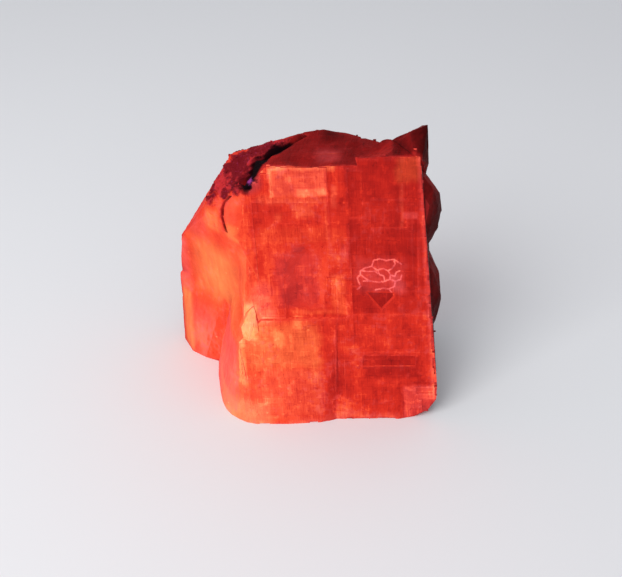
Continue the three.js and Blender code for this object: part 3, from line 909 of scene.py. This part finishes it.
def spread(values, faces, rounds):
    """Values smoothed over the neighbouring points."""
    sides = sides_of(faces)
    size = len(values)
    weight = 1.0 + sum(np.bincount(sides[:, end], minlength=size) for end in (0, 1))
    for _ in range(rounds):
        total = values.copy()
        for first, second in ((0, 1), (1, 0)):
            total += np.bincount(sides[:, first], weights=values[sides[:, second]], minlength=size)
        values = total / weight
    return values


def mesh_from(name, points, faces):
    """A mesh object with these points and faces, in the scene."""
    mesh = bpy.data.meshes.new(name)
    mesh.from_pydata(points.tolist(), [], faces.tolist())
    made = bpy.data.objects.new(name, mesh)
    bpy.context.scene.collection.objects.link(made)
    return made


def store(mesh, name, kind, domain, values):
    """Writes values to a new attribute of a mesh."""
    attribute = mesh.attributes.new(name, kind, domain)
    key = {"FLOAT": "value", "FLOAT_VECTOR": "vector"}[kind]
    attribute.data.foreach_set(key, np.ascontiguousarray(values, dtype=np.float32).ravel())


def add_input(group, name, kind):
    """A named input of a geometry tree."""
    return group.interface.new_socket(name=name, in_out="INPUT", socket_type=kind)


def relief_tree():
    """Geometry nodes that work the relief, grow the crust's grains and set flakes along the edges."""
    group = bpy.data.node_groups.new("calcite_relief", "GeometryNodeTree")
    lengths = ("Break relief", "Crust relief", "Grain size", "Flake size")
    add_input(group, "Geometry", "NodeSocketGeometry")
    for name in lengths:
        add_input(group, name, "NodeSocketFloat")
    add_input(group, "Seed", "NodeSocketInt")
    add_input(group, "Material", "NodeSocketMaterial")
    group.interface.new_socket(name="Geometry", in_out="OUTPUT", socket_type="NodeSocketGeometry")
    tree = Tree(group)
    given = tree.node("NodeGroupInput").outputs
    position = tree.field("GeometryNodeInputPosition")
    normal = tree.field("GeometryNodeInputNormal")

    def named(name, kind="FLOAT"):
        return tree.field("GeometryNodeInputNamedAttribute", {"data_type": kind}, {"Name": name})

    def marked_loose(geometry):
        settings = {"data_type": "FLOAT", "domain": "POINT"}
        values = {"Geometry": geometry, "Name": "loose", "Value": 1.0}
        return tree.field("GeometryNodeStoreNamedAttribute", settings, values)

    def moved(geometry, offset):
        return tree.field("GeometryNodeSetPosition", {}, {"Geometry": geometry, "Offset": offset})

    terraced = moved(given["Geometry"], named("terrace", "FLOAT_VECTOR"))
    drawn_out = tree.vectors("MULTIPLY", position, BREAK_STRETCH)
    streaks = tree.noise(drawn_out, 0.42, 3.0, 0.55) - 0.5
    ripples = tree.noise(drawn_out, 1.7, 2.0, 0.6) - 0.5
    broken = named("broken")
    relief = broken * Field(tree, given["Break relief"]) * (streaks * 1.8 + ripples * 0.5)
    cracked = moved(terraced, tree.scaled(normal, relief))
    in_millimetres = tree.vectors("MULTIPLY", position, (1 / MM, 1 / MM, 1 / MM))
    lumps = tree.noise(in_millimetres, 0.8, 3.0, 0.62) - 0.5
    crust = named("crust")
    rough = crust * Field(tree, given["Crust relief"]) * lumps * 2.0
    crusted = moved(cracked, tree.scaled(normal, rough))

    grain = tree.field("GeometryNodeMeshIcoSphere", {}, {"Radius": 0.5, "Subdivisions": 1})
    grain_points = tree.node(
        "GeometryNodeDistributePointsOnFaces", {"distribute_method": "RANDOM"},
        {"Mesh": crusted, "Density": crust * GRAIN_DENSITY, "Seed": given["Seed"]},
    ).outputs
    grain_size = tree.node(
        "FunctionNodeRandomValue", {"data_type": "FLOAT_VECTOR"},
        {"Min": GRAIN_SMALLEST, "Max": GRAIN_LARGEST, "Seed": given["Seed"]},
    ).outputs[0]
    grains = tree.field("GeometryNodeInstanceOnPoints", {}, {
        "Points": grain_points["Points"], "Instance": marked_loose(grain),
        "Rotation": grain_points["Rotation"], "Scale": tree.scaled(grain_size, given["Grain size"]),
    })

    cube = tree.field("GeometryNodeMeshCube", {}, {"Size": (1.0, 1.0, 1.0)})
    corner = tree.node("ShaderNodeSeparateXYZ", {}, {0: position}).outputs
    across, back, up = (Field(tree, corner[n]) for n in range(3))
    flake = moved(cube, tree.combine(SPLAY * back - RAKE * up, LEAN * up))
    flake_points = tree.node(
        "GeometryNodeDistributePointsOnFaces", {"distribute_method": "RANDOM"},
        {"Mesh": crusted, "Density": named("edge") * FLAKE_DENSITY, "Seed": given["Seed"]},
    ).outputs
    flake_size = tree.node(
        "FunctionNodeRandomValue", {"data_type": "FLOAT_VECTOR"},
        {"Min": FLAKE_SMALLEST, "Max": FLAKE_LARGEST, "Seed": given["Seed"]},
    ).outputs[0]
    flakes = tree.field("GeometryNodeInstanceOnPoints", {}, {
        "Points": flake_points["Points"], "Instance": marked_loose(flake),
        "Scale": tree.scaled(flake_size, given["Flake size"]),
    })

    joined = tree.node("GeometryNodeJoinGeometry")
    for part in (flakes, grains, crusted):
        tree.feed(joined.inputs[0], part)
    whole = tree.field("GeometryNodeRealizeInstances", {}, {0: joined.outputs[0]})
    painted = {"Geometry": whole, "Material": given["Material"]}
    coloured = tree.field("GeometryNodeSetMaterial", {}, painted)
    tree.node("NodeGroupOutput", {}, {0: coloured})
    return group


def worked_mesh(stone, settings, material):
    """The stone's mesh with its relief, grains and flakes made plain."""
    group = relief_tree()
    modifier = stone.modifiers.new("relief", "NODES")
    modifier.node_group = group
    values = {
        "Break relief": settings.break_relief,
        "Crust relief": settings.crust_relief,
        "Grain size": settings.grain_size,
        "Flake size": settings.flake_size,
        "Seed": settings.seed,
        "Material": material,
    }
    for socket in group.interface.items_tree:
        if socket.in_out == "INPUT" and socket.name in values:
            modifier[socket.identifier] = values[socket.name]
    bpy.context.view_layer.update()
    evaluated = stone.evaluated_get(bpy.context.evaluated_depsgraph_get())
    mesh = bpy.data.meshes.new_from_object(evaluated)
    stone.modifiers.remove(modifier)
    return mesh


def sunflower(count):
    """Points spread evenly over a round of radius 1."""
    n = np.arange(count)
    turn = n * math.pi * (3.0 - math.sqrt(5.0))
    reach = np.sqrt((n + 0.5) / count)
    return np.stack([reach * np.cos(turn), reach * np.sin(turn)], axis=1)


def points_beneath(points, loose):
    """For each point its own number, or for a loose one that of the stone's nearest point."""
    beneath = np.arange(len(points))
    stone = np.flatnonzero(~loose)
    tree = KDTree(len(stone))
    for n in stone.tolist():
        tree.insert(points[n], n)
    tree.balance()
    for n in np.flatnonzero(loose).tolist():
        beneath[n] = tree.find(points[n])[1]
    return beneath


def lamp_light(points, normals, shape):
    """How much of the lamp is seen from a little way out of each point, for the lamp's painted shadows.
    """
    facing = unit(-LAMP)
    side = unit(np.cross(facing, [0.0, 0.0, 1.0]))
    rise = np.cross(side, facing)
    lamp_points = [
        Vector((LAMP + LAMP_SIZE * (a * side + b * rise) - MIDDLE) * MM) for a, b in sunflower(LAMP_RAYS)
    ]
    seen = np.zeros(len(points))
    lifted = points + normals * LAMP_LIFT * MM
    for n, point in enumerate(lifted.tolist()):
        start = Vector(point)
        clear = 0
        for goal in lamp_points:
            if shape.ray_cast(start, goal - start)[0] is None:
                clear += 1
        seen[n] = clear
    return seen / LAMP_RAYS


def hollowness(points, normals, shape):
    """How closely the stone itself surrounds each point, from 0 to 1."""
    spots = sunflower(HOLLOW_RAYS)
    heights = np.sqrt(np.maximum(1.0 - (spots ** 2).sum(axis=1), 0.0))
    helper = np.where(np.abs(normals[:, 2:3]) < 0.9, [[0.0, 0.0, 1.0]], [[1.0, 0.0, 0.0]])
    first = np.cross(normals, helper)
    first /= np.maximum(np.linalg.norm(first, axis=1, keepdims=True), 1e-20)
    second = np.cross(normals, first)
    lifted = points + normals * HOLLOW_LIFT * MM
    reach = HOLLOW_REACH * MM
    closed = np.zeros(len(points))
    for (a, b), height in zip(spots, heights):
        ways = (a * first + b * second + height * normals).tolist()
        for n, (point, way) in enumerate(zip(lifted.tolist(), ways)):
            distance = shape.ray_cast(Vector(point), Vector(way), reach)[3]
            if distance is not None:
                closed[n] += 1.0 - distance / reach
    return closed / HOLLOW_RAYS


def patch_share(patch, across, up):
    """1 inside a patch, 0 outside it, soft at its edges."""
    inside = 1.0
    for value, (low, high) in ((across, patch.across), (up, patch.up)):
        inside = inside * step(value, low - patch.soft, low + patch.soft)
        inside = inside * fade(value, high - patch.soft, high + patch.soft)
    return inside


def crack_share(points, normals):
    """1 on the drawn net of cracks, 0 away from it."""
    places = lattice_places(drawn_places(points))
    share = np.zeros(len(points))
    near = np.flatnonzero(in_crack_area(places) & (normals @ FRONT_NORMAL > CRACK_FACES_FRONT))
    flat_places = places[near][:, [0, 2]]
    for course in CRACKS:
        apart = distance_to_course(flat_places, np.array(course))
        share[near] = np.maximum(share[near], fade(apart, 0.5 * CRACK_HALF, 2.0 * CRACK_HALF))
    return share


def body_glow(at, normals, deep_normals, seen, closed, settings):
    """How each corner glows from inside the stone, with the lamp's painted light and shadow, painted
    light on upward faces and from behind, and painted shade in hollows.
    """
    to_lamp = LAMP - at
    distance = np.linalg.norm(to_lamp, axis=1)
    body_normals = (1.0 - DEEP_SHARE) * normals + DEEP_SHARE * deep_normals
    facing = np.einsum("ij,ij->i", body_normals, to_lamp / distance[:, None])
    direct = np.maximum((facing + WRAP) / (1.0 + WRAP), 0.0) * (LAMP_NEAR / distance) ** LAMP_FALLING
    upward = np.maximum(body_normals[:, 2], 0.0)
    back_normals = (1.0 - BACK_DEEP_SHARE) * normals + BACK_DEEP_SHARE * deep_normals
    behind = np.maximum(back_normals @ BACK_LAMP, 0.0)
    return (
        LAMP_GLOW * direct * (SHADOW_GLOW + (1.0 - SHADOW_GLOW) * seen)
        + (settings.deep_glow + settings.top_glow * upward) * (1.0 - HOLLOW_DIMS * closed)
        + settings.back_glow * behind * (1.0 - HOLLOW_DIMS_BACK * closed)
    )


def patch_place(patch, at, places, on_front, on_left):
    """How far each corner is in a patch, on the face that the patch belongs to."""
    if patch.where in ("front", "pit"):
        sway = min(1.0, patch.soft)
        along = places[:, 0] + sway * waves(places[:, 2], SWAY_ALONG)
        up = places[:, 2] + sway * waves(places[:, 0], SWAY_UP)
        share = patch_share(patch, along, up)
        if patch.where == "front":
            return on_front * share
        return step(places[:, 1], STARTS["pit"], STARTS["pit"] + 0.1) * share
    if patch.where == "break":
        return on_left * patch_share(patch, at[:, 0], at[:, 2])
    starts = STARTS[patch.where]
    above = step(at[:, 2], starts - 0.8, starts)
    return (1.0 - on_front) * above * patch_share(patch, at[:, 0], at[:, 1])


def filled_steps(at, places, on_face):
    """1 on the walls of shallow steps in the front, which the glow inside the stone fills."""
    shallow = fade(places[:, 1], 2.6, 3.4)
    between_sides = step(places[:, 0], -10.0, -9.0) * fade(places[:, 0], 20.0, 21.0)
    return on_face * shallow * between_sides * fade(at[:, 2], 48.6, 49.4)


def crevice_shares(at):
    """1 in the crevice, where painted shade makes it dark, and 1 on the red ridge behind it."""
    ragged = waves(at[:, 0], CREVICE_SWAY_X) + waves(at[:, 2], CREVICE_SWAY_Z)
    behind_it = behind_crevice(at) + ragged
    narrowed = 0.75 * step(at[:, 0], -7.0, -3.0)
    widened = 1.2 * fade(at[:, 0], -9.4, -7.0)
    near = fade(distance_to_course(at, CREVICE), 2.2 + 0.7 * widened, 3.0 + 0.7 * widened)
    near *= fade(at[:, 0], -4.6, -2.6) * step(at[:, 2] + ragged, 45.5, 46.5)
    crevice = near * step(behind_it, -1.7 - widened, -1.1 - widened)
    crevice *= fade(behind_it, 1.1 - narrowed, 1.6 - narrowed)
    ridge = near * fade(np.abs(behind_it - 1.9 + narrowed), 0.15, 0.5)
    return crevice, ridge


def sheet_places(at, places, normals):
    """Where each corner lies across and up its sort of face, the sort's number, and 1 on cleavage."""
    across = BROKEN_ACROSS[0] * at[:, 0] + BROKEN_ACROSS[1] * at[:, 1]
    up = at[:, 2].copy()
    layer = np.full(len(at), BROKEN_LAYER)
    flat = np.zeros(len(at))
    for n, sheet in enumerate(SHEETS):
        on_sheet = normals @ sheet.outward > ON_SHEET
        across[on_sheet] = places[on_sheet, sheet.axes[0]]
        up[on_sheet] = places[on_sheet, sheet.axes[1]]
        layer[on_sheet] = n
        flat[on_sheet] = 1.0
    return np.stack([across, up, layer], axis=1), flat


def paint_glow(mesh, settings):
    """Stores how each corner of the mesh glows, with painted lamp light, shadow and shade, and what the
    material needs to know of it.
    """
    points = read(mesh.vertices, "co", 3)
    vertex_normals = read(mesh.vertex_normals, "vector", 3)
    mesh.calc_loop_triangles()
    triangles = read(mesh.loop_triangles, "vertices", 3).astype(int)
    shape = BVHTree.FromPolygons(points.tolist(), triangles.tolist(), all_triangles=True)
    loose = read(mesh.attributes["loose"].data, "value", 1).ravel() > 0.5
    beneath = points_beneath(points, loose)

    deep_normals = np.stack(
        [spread(vertex_normals[:, axis].copy(), triangles, DEPTH_ROUNDS) for axis in range(3)], axis=1,
    )[beneath]
    deep_normals /= np.maximum(np.linalg.norm(deep_normals, axis=1, keepdims=True), 1e-9)
    # The lamp's painted shadows, softened over the mesh.
    seen = spread(lamp_light(points, deep_normals, shape), triangles, SHADOW_ROUNDS)[beneath]
    # How closed in each point is, for painted shade in hollows.
    hollow = hollowness(points, deep_normals, shape)
    # How sharply each point turns outwards, for painted highlights along edges.
    edge = spread(convexity(points, triangles, face_normals(points, triangles)), triangles, 1)

    corner = read(mesh.loops, "vertex_index", 1).astype(int).ravel()
    normals = read(mesh.corner_normals, "vector", 3)
    at = drawn_places(points)[corner]
    places = lattice_places(at)
    glow = body_glow(at, normals, deep_normals[corner], seen[corner], hollow[corner], settings)
    warm = np.zeros(len(glow))
    pink = np.zeros(len(glow))

    body_back = (1.0 - DEEP_SHARE) * normals[:, 1] + DEEP_SHARE * deep_normals[corner, 1]
    on_front = step(normals @ FRONT_NORMAL, 0.8, 0.95)
    on_left = (1.0 - on_front) * step(-at[:, 0], 8.5, 9.5) * fade(body_back, -0.05, 0.35)
    for patch in PATCHES:
        share = patch_place(patch, at, places, on_front, on_left)
        glow *= 1.0 + (patch.glow - 1.0) * share
        warm = np.maximum(warm, patch.warm * share)
        pink = np.maximum(pink, patch.pink * share)

    glow *= 1.0 - CROOKED_DIMS * fade(beside_crooked_crack(at), 0.2, 0.45)
    walls = filled_steps(at, places, (1.0 - on_front) * (1.0 - on_left))
    glow += STEP_FILL * walls * np.maximum(STEP_GLOW - glow, 0.0)

    edge_line, edge_from, edge_slope = RIGHT_EDGE
    before_edge = edge_line - edge_slope * (places[:, 2] - edge_from) - places[:, 0]
    at_edge = on_front * fade(before_edge, 0.1, 1.1)
    glow *= 1.0 + EDGE_GLOW * at_edge
    pink = np.maximum(pink, EDGE_PINK * at_edge)

    crevice, ridge = crevice_shares(at)
    from_spot = np.linalg.norm(at - VIOLET_SPOT, axis=1)
    haze = fade(from_spot, 1.0, 3.0)
    pink = np.maximum(pink, HAZE_PINK * haze)
    # Painted shade in the crevice takes its glow away; the haze round the violet glint dims it too.
    glow *= (1.0 - HAZE_DIMS * haze) * (1.0 - CREVICE_DIMS * crevice)
    rim = fade(distance_to_course(at, LIT_RIM), 0.4, 1.0)
    red_rim = np.maximum(fade(distance_to_course(at, RED_RIM), 0.25, 0.7), 0.8 * ridge)
    crust = np.maximum(crust_share(at) * (1.0 - RIM_BARES * rim), 0.0)
    sheet, flat = sheet_places(at, places, normals)

    of_corners = {
        "glow": glow, "warm": warm, "pink": pink, "crust_share": crust, "flat": flat,
        "rim": np.maximum(rim, RED_RIM_SHARE * red_rim), "crevice": crevice,
        "violet": fade(from_spot, 0.3, 1.0),
    }
    for name, values in of_corners.items():
        store(mesh, name, "FLOAT", "CORNER", values)
    of_points = {"edge_share": edge, "hollow": hollow, "crack": crack_share(points, vertex_normals)}
    for name, values in of_points.items():
        store(mesh, name, "FLOAT", "POINT", values)
    store(mesh, "sheet", "FLOAT_VECTOR", "CORNER", sheet)


def calcite_material(settings):
    """The glowing calcite: cleavage net, streaks, clouds and fine cracks, and the dark crust, with
    painted shade, highlights and glints.
    """
    material = bpy.data.materials.new("glowing_calcite")
    material.use_nodes = True
    tree = Tree(material.node_tree)

    def stored(name, output="Fac"):
        return tree.field("ShaderNodeAttribute", {"attribute_name": name}, {}, output)

    place = tree.field("ShaderNodeTexCoord", {}, {}, "Object")
    fine = tree.vectors("MULTIPLY", place, (1 / MM, 1 / MM, 1 / MM))
    sheet = tree.node("ShaderNodeSeparateXYZ", {}, {0: stored("sheet", "Vector")}).outputs
    across, up, layer = (Field(tree, sheet[n]) for n in range(3))
    glow = stored("glow")
    flat = stored("flat")
    edge = stored("edge_share")
    hollow = stored("hollow")
    crust = stored("crust_share")
    rim = stored("rim")

    # Uneven spacing of the straight lines along both directions
    bent_across = across + 1.5 * tree.noise(tree.combine(across * 0.31, layer), 1.0, 1.0)
    bent_up = up + 1.9 * tree.noise(tree.combine(up * 0.27, layer, 5.0), 1.0, 1.0)

    def fields(width, height, number):
        """Oblong fields of random shade between cleavage lines, and how near a line is."""
        row = tree.floor(bent_up / height)
        shift = tree.chance(tree.combine(row, layer, number))
        slot = bent_across / width + shift
        column = tree.floor(slot)
        shade = tree.chance(tree.combine(column, row, layer + number * 10.0))
        from_left = tree.fraction(slot)
        from_foot = tree.fraction(bent_up / height)
        beside = tree.least(from_left, 1.0 - from_left) * width
        above = tree.least(from_foot, 1.0 - from_foot) * height
        return shade, beside, above

    large, large_beside, large_above = fields(*LARGE_FIELD, 1.0)
    middle, middle_beside, middle_above = fields(*MIDDLE_FIELD, 2.0)
    small, small_beside, small_above = fields(*SMALL_FIELD, 3.0)
    streaks = tree.noise(tree.combine(across * 2.6, up * 0.16, layer), 1.0, 3.0, 0.6)
    threads = tree.noise(tree.combine(across * 6.5, up * 0.5, layer + 3.0), 1.0, 2.0, 0.6)
    courses = tree.noise(tree.combine(across * 0.2, up * 1.9, layer + 6.0), 1.0, 3.0, 0.6)
    clouds = tree.noise(fine, 0.16, 3.0, 0.55)
    mottle = tree.noise(fine, 0.9, 3.0, 0.6)
    grain = tree.noise(fine, 3.4, 2.0, 0.6)
    soft_streaks = tree.noise(tree.combine(across * 0.75, up * 0.13, 7.0), 1.0, 3.0, 0.55)

    block_wide, block_high = BLOCK
    blocks_place = tree.combine(
        tree.floor(bent_across / block_wide) * block_wide * 0.34,
        tree.floor(bent_up / block_high) * block_high * 0.3,
        layer * 7.0,
    )
    blocks = tree.noise(blocks_place, 1.0, 3.0, 0.6)
    patchy = tree.noise(tree.combine(bent_across * 0.62, bent_up * 0.5, layer + 20.0), 1.0, 4.0, 0.62)
    combed = tree.ease(tree.noise(tree.combine(across * 0.16, up * 0.2, 31.0), 1.0, 2.0), 0.4, 0.62)
    calm = 1.0 - 0.45 * tree.ease(glow, 0.8, 1.1)
    net = (
        (large - 0.5) * 0.05 + (middle - 0.5) * 0.05 + (small - 0.5) * 0.04 + (blocks - 0.5) * 0.56
        + (streaks - 0.5) * 0.3 * calm + (threads - 0.5) * 0.34 * combed * calm + (courses - 0.5) * 0.1
        + 0.16 * tree.ease(patchy, 0.56, 0.66) - 0.12 * tree.ease(patchy, 0.42, 0.34)
    )
    wanted = tree.ease(tree.noise(tree.combine(across * 0.5, up * 0.5, 11.0), 1.0, 2.0), 0.46, 0.62)
    line_middle = tree.most(tree.ease(middle_beside, 0.1, 0.03), tree.ease(middle_above, 0.1, 0.03))
    line_small = tree.most(tree.ease(small_beside, 0.08, 0.02), tree.ease(small_above, 0.08, 0.02))
    line_large = tree.most(tree.ease(large_beside, 0.12, 0.03), tree.ease(large_above, 0.12, 0.03))
    lines = (
        line_middle * tree.ease(middle, 0.6, 0.95) * 0.16 * wanted
        + line_small * tree.ease(small, 0.72, 1.0) * 0.16 * wanted
        + line_large * tree.ease(large, 0.3, 0.8) * 0.13 * wanted
    )
    dark_lines = (
        line_middle * tree.ease(middle, 0.4, 0.05) * 0.12 + line_small * tree.ease(small, 0.2, 0.0) * 0.1
    )
    on_flat = flat * (net + lines - dark_lines)
    dim = tree.ease(glow, 0.75, 0.3)
    on_break = (1.0 - flat) * (
        (soft_streaks - 0.5) * (0.14 + 0.36 * dim) + (mottle - 0.5) * (0.1 + 0.62 * dim)
    )
    cracks = stored("crack")

    specks = tree.node(
        "ShaderNodeTexVoronoi", {"feature": "F1", "voronoi_dimensions": "3D"},
        {"Vector": fine, "Scale": SPECK_SCALE},
    ).outputs
    lucky = tree.node("ShaderNodeSeparateXYZ", {}, {0: specks["Color"]}).outputs[0]
    dots = tree.ease(specks["Distance"], 0.2, 0.08) * tree.ease(lucky, 0.86, 0.94)

    level = glow * (1.0 + on_flat + on_break + (clouds - 0.5) * 0.42 + (grain - 0.5) * 0.16)
    # Painted highlights along convex edges, and painted shade in hollows.
    bright_edge = edge * 0.24 * tree.ease(glow, 0.15, 0.7) * (0.3 + wanted) * (0.25 + 0.75 * flat)
    level = level + bright_edge - hollow * 0.1 * glow
    level = level + dots * 0.26 * glow + cracks * (0.05 + 0.75 * tree.ease(mottle, 0.3, 0.7))
    # Painted highlight: the lit rims of the crust are set to one even glow.
    level = tree.mix(rim, level, 0.8)

    stops = [(glow_at / BRIGHTEST, (*colour, 1.0)) for glow_at, *colour in GLOW_STOPS]
    ramp = tree.node("ShaderNodeValToRGB", {"stops": stops}, {0: level / BRIGHTEST}).outputs[0]
    bright = tree.least(level, 1.0)

    golden = 0.38 * tree.ease(clouds, 0.5, 0.74) * tree.ease(level, 0.7, 1.1)
    warm = stored("warm") * (0.6 + 0.65 * (soft_streaks - 0.3)) + golden
    blush = 0.3 * tree.ease(mottle + (clouds - 0.5), 0.55, 0.75) * tree.ease(level, 0.3, 0.8)
    # The painted edge highlights lean pink too.
    pink = stored("pink") * (0.6 + 0.8 * (mottle - 0.4)) + edge * 0.3 + cracks * 0.9 + blush
    colour = ramp
    for lean, towards in ((warm, WARM), (pink, ROSE)):
        share = tree.least(tree.most(lean * LEANING, 0.0), 1.0)
        colour = tree.mix_colour(share, colour, tree.scaled(towards, bright))

    # Noise for the crust's bumpy flecks, and for where the painted glints sit.
    flecks_and_glints = tree.noise(fine, 1.6, 3.0, 0.65)
    crusted = tree.mix_colour(tree.ease(clouds + mottle * 0.6, 0.72, 0.92), CRUST_BROWN, CRUST_RED)
    # Painted reflection: purple glints of the ultraviolet lamp on the crust.
    crusted = tree.mix_colour(tree.ease(flecks_and_glints, 0.56, 0.72) * 0.6, crusted, CRUST_PURPLE_GLINT)
    # Painted shade on the crust: darker in its hollows, brighter where it is open.
    crusted = tree.scaled(crusted, 1.6 - 1.3 * hollow)
    colour = tree.mix_colour(crust, colour, crusted)
    # Painted shade: the crevice is coloured almost black.
    colour = tree.mix_colour(stored("crevice") * 0.94, colour, CREVICE_SHADE)
    # Painted reflection: the violet glint of the ultraviolet lamp at the crevice's lower end.
    colour = tree.mix_colour(stored("violet") * tree.ease(flecks_and_glints, 0.36, 0.6), colour, VIOLET_GLINT)

    heights = (
        (middle - 0.5) * 0.5 * flat + (small - 0.5) * 0.3 * flat + (streaks - 0.5) * 1.6 * flat
        + (threads - 0.5) * 0.9 * flat + (courses - 0.5) * 0.9 * flat
        + (mottle - 0.5) * 0.5 * (1.0 - flat) + (grain - 0.5) * 0.5 + (flecks_and_glints - 0.5) * 2.2 * crust
    )
    bump_values = {"Strength": 0.55, "Distance": BUMP_HEIGHT, "Height": heights}
    bump = tree.field("ShaderNodeBump", {}, bump_values)
    roughness = tree.mix(crust, 0.5 + 0.22 * (clouds - 0.5) + 0.16 * (mottle - 0.5), 0.46)
    # The colour, with its painted light, shadow and shade, is also given off as light: the stone and its
    # crust glow though they are no lamp.
    shader = tree.node("ShaderNodeBsdfPrincipled", {}, {
        "Base Color": tree.scaled(colour, settings.body),
        "Roughness": roughness,
        "IOR": 1.5,
        "Specular IOR Level": 0.02,
        "Emission Color": colour,
        "Emission Strength": settings.glow,
        "Normal": bump,
    })
    tree.node("ShaderNodeOutputMaterial", {}, {"Surface": shader.outputs[0]})
    return material


def plain_material(name, colour, roughness):
    """A plain matt material for the stage."""
    material = bpy.data.materials.new(name)
    material.use_nodes = True
    tree = Tree(material.node_tree)
    place = tree.field("ShaderNodeTexCoord", {}, {}, "Object")
    cloud = tree.noise(place, 9.0, 3.0)
    paler = [min(1.0, value * 1.02) for value in colour]
    shader = tree.node("ShaderNodeBsdfPrincipled", {}, {
        "Base Color": tree.mix_colour(cloud, (*colour, 1.0), (*paler, 1.0)),
        "Roughness": roughness,
        "Specular IOR Level": 0.2,
    })
    tree.node("ShaderNodeOutputMaterial", {}, {"Surface": shader.outputs[0]})
    return material


class CALCITE_OT_stone(bpy.types.Operator):
    """Make the calcite block with its terraces, crust and glow"""

    bl_idname = "calcite.stone"
    bl_label = "Calcite block"

    def execute(self, context):
        settings = context.scene.calcite_stone
        material = calcite_material(settings)
        points, faces = refine(*stone_triangles(), settings)
        stone = mesh_from("calcite_stone", points, faces)
        drawn = drawn_places(points)
        crust = crust_share(drawn)
        normals = face_normals(points, faces)
        chips = step(convexity(points, faces, normals), *CHIPPED_TURN)
        above_foot = step(drawn[:, 2], *FOOT_ENDS)
        bare = (1.0 - crust) * above_foot
        sinking = terraces(points, faces) * above_foot[:, None]
        store(stone.data, "terrace", "FLOAT_VECTOR", "POINT", sinking)
        store(stone.data, "broken", "FLOAT", "POINT", (1.0 - flat_share(points, faces)) * bare)
        store(stone.data, "crust", "FLOAT", "POINT", crust)
        store(stone.data, "edge", "FLOAT", "POINT", chips * bare)
        rough = stone.data
        stone.data = worked_mesh(stone, settings, material)
        stone.data.name = "calcite_stone"
        bpy.data.meshes.remove(rough)
        stone.data.shade_smooth()
        stone.data.set_sharp_from_angle(angle=CREASE)
        paint_glow(stone.data, settings)
        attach(stone, BODY)
        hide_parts(NODE)
        return {"FINISHED"}


class CALCITE_OT_stage(bpy.types.Operator):
    """Make the pale floor, the soft studio light and the camera"""

    bl_idname = "calcite.stage"
    bl_label = "Stage"

    def execute(self, context):
        settings = context.scene.calcite_stage
        self.floor(settings)
        self.light(context, settings)
        self.camera(context, settings)
        return {"FINISHED"}

    def floor(self, settings):
        half = settings.floor_size / 2
        corners = np.array([(x * half, y * half, 0.0) for x, y in ((-1, -1), (1, -1), (1, 1), (-1, 1))])
        floor = mesh_from("floor", corners, np.array([[0, 1, 2, 3]]))
        floor.data.materials.append(plain_material("pale_floor", settings.floor_colour[:], 0.7))

    def light(self, context, settings):
        world = bpy.data.worlds.new("soft_sky")
        world.use_nodes = True
        background = world.node_tree.nodes["Background"]
        background.inputs["Color"].default_value = SKY_COLOUR
        background.inputs["Strength"].default_value = settings.sky
        context.scene.world = world
        key = bpy.data.lights.new("key_light", "AREA")
        key.energy = settings.key_power
        key.size = KEY_SIZE
        lamp = bpy.data.objects.new("key_light", key)
        lamp.location = KEY_PLACE
        lamp.rotation_euler = Vector(lamp.location).to_track_quat("Z", "Y").to_euler()
        context.scene.collection.objects.link(lamp)

    def camera(self, context, settings):
        camera = bpy.data.objects.new("camera", bpy.data.cameras.new("camera"))
        camera.data.lens = LENS
        camera.data.sensor_width = SENSOR
        camera.data.clip_start = 0.01
        camera.location = (CAMERA_RIGHT, -settings.camera_back, settings.camera_height)
        camera.rotation_euler = (math.pi / 2 - settings.camera_down, 0.0, 0.0)
        context.scene.collection.objects.link(camera)
        context.scene.camera = camera
        context.scene.view_settings.view_transform = "Standard"


class CALCITE_PT_parts(bpy.types.Panel):
    """Shows the stone's and the stage's settings, each with the button that makes it"""

    bl_idname = "CALCITE_PT_parts"
    bl_label = "Fluorescent calcite"
    bl_space_type = "VIEW_3D"
    bl_region_type = "UI"
    bl_category = "Calcite"

    def draw(self, context):
        layout = self.layout
        for operator, settings in (
            (CALCITE_OT_stone, context.scene.calcite_stone),
            (CALCITE_OT_stage, context.scene.calcite_stage),
        ):
            box = layout.box()
            for name in settings.bl_rna.properties.keys():
                if name not in {"rna_type", "name"}:
                    box.prop(settings, name)
            box.operator(operator.bl_idname)


CLASSES = (StoneSettings, StageSettings, CALCITE_OT_stone, CALCITE_OT_stage, CALCITE_PT_parts)


def register():
    for one in CLASSES:
        bpy.utils.register_class(one)
    bpy.types.Scene.calcite_stone = PointerProperty(type=StoneSettings)
    bpy.types.Scene.calcite_stage = PointerProperty(type=StageSettings)


def unregister():
    del bpy.types.Scene.calcite_stage
    del bpy.types.Scene.calcite_stone
    for one in reversed(CLASSES):
        bpy.utils.unregister_class(one)


def main():
    register()
    bpy.ops.calcite.stage()
    bpy.ops.calcite.stone()


if __name__ == "__main__":
    main()
